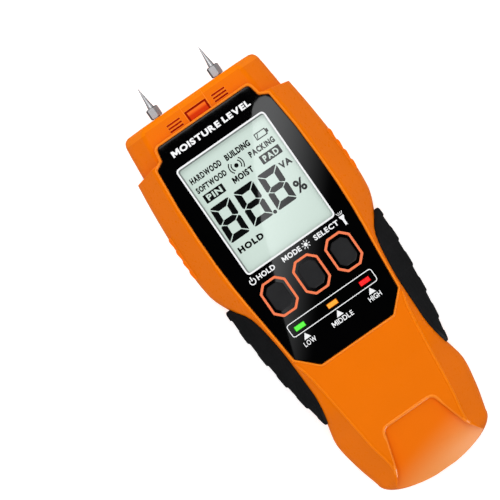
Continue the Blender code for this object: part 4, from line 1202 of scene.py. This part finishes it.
def make_case_screws():
    """The four screws of the housing, with rounded heads and cross recesses."""
    for number, (x, y, head_z) in enumerate(CASE_SCREWS, 1):
        radius = SCREW_HEAD_RADIUS
        length = 22.4 - head_z
        profile = [(0.05, 0), (1.0, 0.02), (1.8, 0.14), (2.3, 0.36), (radius, 0.75), (radius, 1.45),
                   (radius - 0.15, 1.6), (1.25, 1.6), (1.25, length - 0.9), (0.6, length - 0.1),
                   (0.05, length)]
        base = Solid().turned(profile, (x, y, head_z), (0, 0, 1), 32).mesh(f"housing_screw_{number}")
        mesh = combine(base, [("DIFFERENCE", screw_cross(x, y, head_z - 1, head_z + 0.95))])
        add_piece(f"housing_screw_{number}", mesh, MAT["steel"], "meter", [f"case_screw_{number}"])


def make_door():
    """The battery door, with rounded edges, finger grooves and an arrow."""
    rings = []
    for z, inset in ((0.0, 0.55), (0.06, 0.3), (0.2, 0.1), (0.45, 0.0), (DOOR_DEPTH, 0.0)):
        rings.append(at_height(field(DOOR_HALF, DOOR_Y, -inset, 2.5), z))
    base = Solid().loft(rings).mesh("door_skin")
    grooves = Solid()
    for i in range(5):
        y = 11 + 2.4 * i
        corners = both_sides([(8, y - 0.5, 0.5), (8, y + 0.5, 0.5)])
        grooves.prism(round_corners(corners, 3), -1, 0.7)
    arrow = Solid().prism([(-2.4, 27.4), (2.4, 27.4), (0, 24.0)], -1, 0.35)
    mesh = combine(base, [("DIFFERENCE", grooves), ("DIFFERENCE", arrow)])
    add_piece("door_skin", mesh, MAT["orange"], "battery_door", ["battery_door"])


def make_pad():
    """The sensing pad, with rounded edges."""
    rings = []
    for z, inset in ((0.0, 0.5), (0.06, 0.28), (0.2, 0.08), (0.45, 0.0), (2.4, 0.0)):
        rings.append(at_height(field(PAD_HALF, PAD_Y, -inset, 2.8), z))
    flange = field(PAD_HALF, PAD_Y, 1.7, 2.8)
    rings += [at_height(flange, z) for z in (2.4, 3.5)]
    base = Solid().loft(rings).mesh("pad_skin")
    add_piece("pad_skin", base, MAT["pad"], "meter", ["sensor_pad"])


def make_cells():
    """The three dry cells, with steel caps, a plain sleeve and a pale band."""
    low, high = TRAY_Y[0] + 1.1, TRAY_Y[1] - 1.1
    radius = CELL_RADIUS
    sleeve = [(radius - 0.35, 0.25), (radius, 0.5), (radius, 42.9), (radius - 0.35, 43.3)]
    can = [(0.05, 0.1), (4.3, 0.0), (4.8, 0.2), (4.8, 43.2), (4.5, 43.5), (2.8, 43.5), (2.75, 44.3),
           (2.5, CELL_LENGTH), (0.05, CELL_LENGTH)]
    band = [(radius + 0.03, 34.0), (radius + 0.03, 41.0)]
    for number, place in enumerate((-1, 0, 1), 1):
        turned_round = place == 0
        start = low + CELL_LENGTH if turned_round else high - CELL_LENGTH
        axis = (0, -1, 0) if turned_round else (0, 1, 0)
        parts = [
            ("sleeve", sleeve, "battery", "battery_wrap", [f"battery_{number}"]),
            ("can", can, "steel", "steel", []),
            ("band", band, "white", "white_plastic", []),
        ]
        for part, profile, finish, slot, nodes in parts:
            name = f"cell_{part}_{number}"
            mesh = Solid().turned(profile, (place * CELL_PITCH, start, CELL_Z), axis).mesh(name)
            add_piece(name, mesh, MAT[finish], "meter", nodes)


def make_cap():
    """The cap, with its studs, its front field and the notch for the panel's top."""
    stations = [150.0] + spread(153, 186, 3) + [187.3, 188.6, 189.6, 190.5, 191.3, 192.0, 192.6, CAP_TOP_Y]
    base = Solid(CAP_PULL).loft([shell_ring(CAP, y) for y in stations]).mesh("cap_skin")
    studs = Solid(CAP_PULL)
    profile = [(2.1, 0), (2.1, 4.9), (2.0, 5.6), (1.75, 5.9), (1.2, 6.0), (0.05, 6.0)]
    for x in (-19.5, 19.5):
        studs.turned(profile, (x, 188, 15), (0, 1, 0), 32)
    hollow = [shell_ring(CAP, y, WALL, True) for y in [148.0] + spread(156, 186, 5) + [188.0, 190.6]]
    notch = round_corners(both_sides([(26.4, 148, 0), (26.4, 155.8, 0.8), (23.6, 157.6, 0.8),
                                      (23.6, 162.2, 1.6)]))
    recess = round_corners([(20.4, 186.0, 1.5), (-20.4, 186.0, 1.5), (-14.6, 166.5, 1.5),
                            (14.6, 166.5, 1.5)])
    steps = [
        ("UNION", studs),
        ("DIFFERENCE", Solid(CAP_PULL).loft(hollow)),
        ("DIFFERENCE", Solid(CAP_PULL).prism(shoulder_outline(GAP, False)[::-1], -5, 45)),
        ("DIFFERENCE", Solid(CAP_PULL).prism(notch, 20, 45)),
        ("DIFFERENCE", Solid(CAP_PULL).prism(recess, lambda y: 31.4 - 0.05 * (y - 166.5), 45)),
    ]
    add_piece("cap_skin", combine(base, steps), MAT["orange"], "cap", ["cap"])


# CAD nodes that keep their shape
def finish_nodes():
    """Gives every CAD node that stays its material."""
    finishes = {
        "display_glass": "display", "display_backlight": "white_plastic", "display_frame": "grey",
        "zebra_strip": "zebra", "main_board": "board", "controller_chip": "chip", "buzzer": "chip",
        "switch_": "chip", "pin_block": "grey", "pin_socket_": "brass", "torch_led": "lens",
        "sensor_electrode": "copper", "battery_tray": "grey", "battery_spring": "steel",
        "contact_plate": "steel", "board_screw": "steel", "wire_pin": "wire_white",
        "wire_torch": "wire_white", "wire_sensor": "wire_white", "wire_battery_red": "wire_red",
        "wire_battery_black": "wire_black",
        "light_low": "light_low", "light_middle": "light_middle", "light_high": "light_high",
    }
    for name, node in NODES.items():
        for start, finish in finishes.items():
            if name.startswith(start):
                node.data.materials.clear()
                node.data.materials.append(MAT[finish])
                break


# Stage, whose floor and lights are placed in metres
TURN = math.radians(-34.84)
VIEW_CENTRE = (-13.8, 109.5)
VIEW_WIDTH = 187.4
LENS = 600.0
SENSOR = 36.0
SWEEP_SLOPE = 1.14
SWEEP_FADE = (82.0, 126.0)
SWEEP_STRENGTH = 2.65
CAMERA_BASE = 25.0
CAMERA_REACH = 10.0
FLOOR_HALF = 3.0
FLOOR_Z = -0.0002


def make_camera():
    """A long lens straight above, turned so that the meter lies as in a top view at 35 degrees."""
    data = bpy.data.cameras.new("camera")
    data.lens = LENS
    data.sensor_width = SENSOR
    camera = add_object("camera", data)
    distance = LENS * VIEW_WIDTH / SENSOR
    camera.location = (VIEW_CENTRE[0] * MM, (VIEW_CENTRE[1] - ORIGIN_Y) * MM, (distance + CAMERA_BASE) * MM)
    camera.rotation_euler = (0, 0, TURN)
    data.clip_end = CAMERA_REACH
    bpy.context.scene.camera = camera


def add_area(name, place, target, size, power):
    """Adds a soft rectangular light that faces a target and that the camera doesn't see."""
    data = bpy.data.lights.new(name, "AREA")
    data.shape = "RECTANGLE"
    data.size, data.size_y = size
    data.energy = power
    light = add_object(name, data)
    light.visible_camera = False
    light.location = place
    light.rotation_euler = (Vector(target) - Vector(place)).to_track_quat("-Z", "Y").to_euler()
    return light


def emissive(name, colour, strength):
    """A plain emissive material for the stage."""
    material = bpy.data.materials.new(name)
    material.use_nodes = True
    material.node_tree.nodes.clear()
    light = add_node(material, "ShaderNodeEmission", {"Color": (*colour, 1), "Strength": strength})
    add_node(material, "ShaderNodeOutputMaterial", {"Surface": light.outputs["Emission"]})
    return material


def reflect_only(obj):
    """Lets only reflections see a stage card."""
    obj.visible_camera = False
    obj.visible_diffuse = False
    obj.visible_shadow = False
    obj.visible_transmission = False


def flat_card(name, outline, height, material):
    """Adds a flat card at a height, facing down, from an outline over the panel in millimetres."""
    bm = bmesh.new()
    face = bm.faces.new([bm.verts.new((x * MM, (y - ORIGIN_Y) * MM, height * MM)) for x, y in outline])
    face.normal_flip()
    bmesh.ops.triangulate(bm, faces=bm.faces)
    mesh = bpy.data.meshes.new(name)
    bm.to_mesh(mesh)
    bm.free()
    mesh.materials.append(material)
    obj = add_object(name, mesh)
    reflect_only(obj)
    return obj


def spread_from_view(points, height):
    """Gives where points seen on the panel are mirrored at a height above it."""
    distance = LENS * VIEW_WIDTH / SENSOR + CAMERA_BASE - PANEL_TOP_Z
    grow = 1 + (height - PANEL_TOP_Z) / distance
    return [(VIEW_CENTRE[0] + (x - VIEW_CENTRE[0]) * grow, VIEW_CENTRE[1] + (y - VIEW_CENTRE[1]) * grow)
            for x, y in points]


def mirrored(point, height):
    """Gives where one point seen on the panel is mirrored at a height above it, in metres."""
    x, y = spread_from_view([point], height)[0]
    return x * MM, (y - ORIGIN_Y) * MM


def sweep_material(height):
    """The soft box that the panel mirrors: bright at the head, fading down to the lower right."""
    material = emissive("soft_box", (0.97, 0.985, 1.0), 1.0)
    limits = []
    for seen_y in SWEEP_FADE:
        x, y = mirrored((0, seen_y), height)
        limits.append(y - SWEEP_SLOPE * x)
    fall = along_slope(material, SWEEP_SLOPE)
    glow = map_range(material, fall, limits, (0.0, SWEEP_STRENGTH), "SMOOTHSTEP")
    material.node_tree.links.new(glow, material.node_tree.nodes["Emission"].inputs["Strength"])
    return material


def make_reflections():
    """A dark flag, a soft box and a card for the pins over the meter, which only its gloss sees."""
    high, low = 300.0, 250.0
    flag = spread_from_view([(-60, -20), (60, -20), (60, 160), (-60, 160)], high)
    flat_card("dark_flag", flag, high, emissive("flag_black", (0, 0, 0), 0.0))
    edge = [(-23.4, 66.0), (-16.5, 85.7), (-9.0, 102.6), (-4.5, 115.4), (3.0, 129.0), (5.5, 134.8),
            (11.0, 143.0), (15.3, 150.0), (16.9, 152.2), (19.0, 153.7), (21.6, 154.3), (23.8, 153.7),
            (26.2, 150.2), (36.0, 140.0), (40.0, 60.0), (0.0, 50.0)]
    flat_card("soft_box", spread_from_view(edge, low), low, sweep_material(low))
    strip = [(-110, 165), (45, 165), (45, 340), (-110, 340)]
    flat_card("pin_strip", strip, 400.0, emissive("strip_white", (1, 1, 1), 2.4))


def make_stage():
    """A pale floor, soft light from above and the head's side, a low card and a pale surround."""
    bm = bmesh.new()
    bmesh.ops.create_grid(bm, x_segments=1, y_segments=1, size=FLOOR_HALF)
    mesh = bpy.data.meshes.new("floor")
    bm.to_mesh(mesh)
    bm.free()
    floor = add_object("floor", mesh)
    floor.location.z = FLOOR_Z
    material, shader = new_material("floor_white", (0.8, 0.8, 0.8), 0.9)
    shader.inputs["Specular IOR Level"].default_value = 0.0
    shader.inputs["Emission Color"].default_value = (1, 1, 1, 1)
    shader.inputs["Emission Strength"].default_value = 0.55
    mesh.materials.append(material)
    floor.visible_glossy = False
    middle = (0, 0.02, 0.01)
    add_area("overhead_light", (0, 0.02, 1.3), middle, (1.4, 1.4), 8.0).visible_glossy = False
    add_area("key_light", (0.08, 0.98, 0.75), middle, (0.5, 0.5), 3.8).visible_glossy = False
    add_area("low_card", (0.3, -0.8, 0.24), (0, -0.08, 0.02), (0.5, 0.26), 13.0).visible_diffuse = False
    world = bpy.data.worlds.new("surround")
    bpy.context.scene.world = world
    world.use_nodes = True
    way = add_node(world, "ShaderNodeTexCoord").outputs["Generated"]
    rise = add_node(world, "ShaderNodeSeparateXYZ", {"Vector": way}).outputs["Z"]
    background = world.node_tree.nodes["Background"].inputs
    background["Color"].default_value = (1, 1, 1, 1)
    strength = map_range(world, rise, (-0.5, 1.0), (0.12, 0.75))
    world.node_tree.links.new(strength, background["Strength"])
    bpy.context.scene.view_settings.view_transform = "Standard"


def main():
    """Makes every piece, then the stage."""
    make_camera()
    finish_nodes()
    make_front_shell()
    make_back_shell()
    make_beads()
    for side, sign in (("left", -1), ("right", 1)):
        make_grip(side, sign)
    make_panel()
    make_white_prints()
    make_key_rings()
    make_display_ink()
    make_painted_window_shadow()
    make_keys()
    make_pins()
    make_torch()
    make_case_screws()
    make_door()
    make_pad()
    make_cells()
    make_cap()
    make_reflections()
    make_stage()


main()
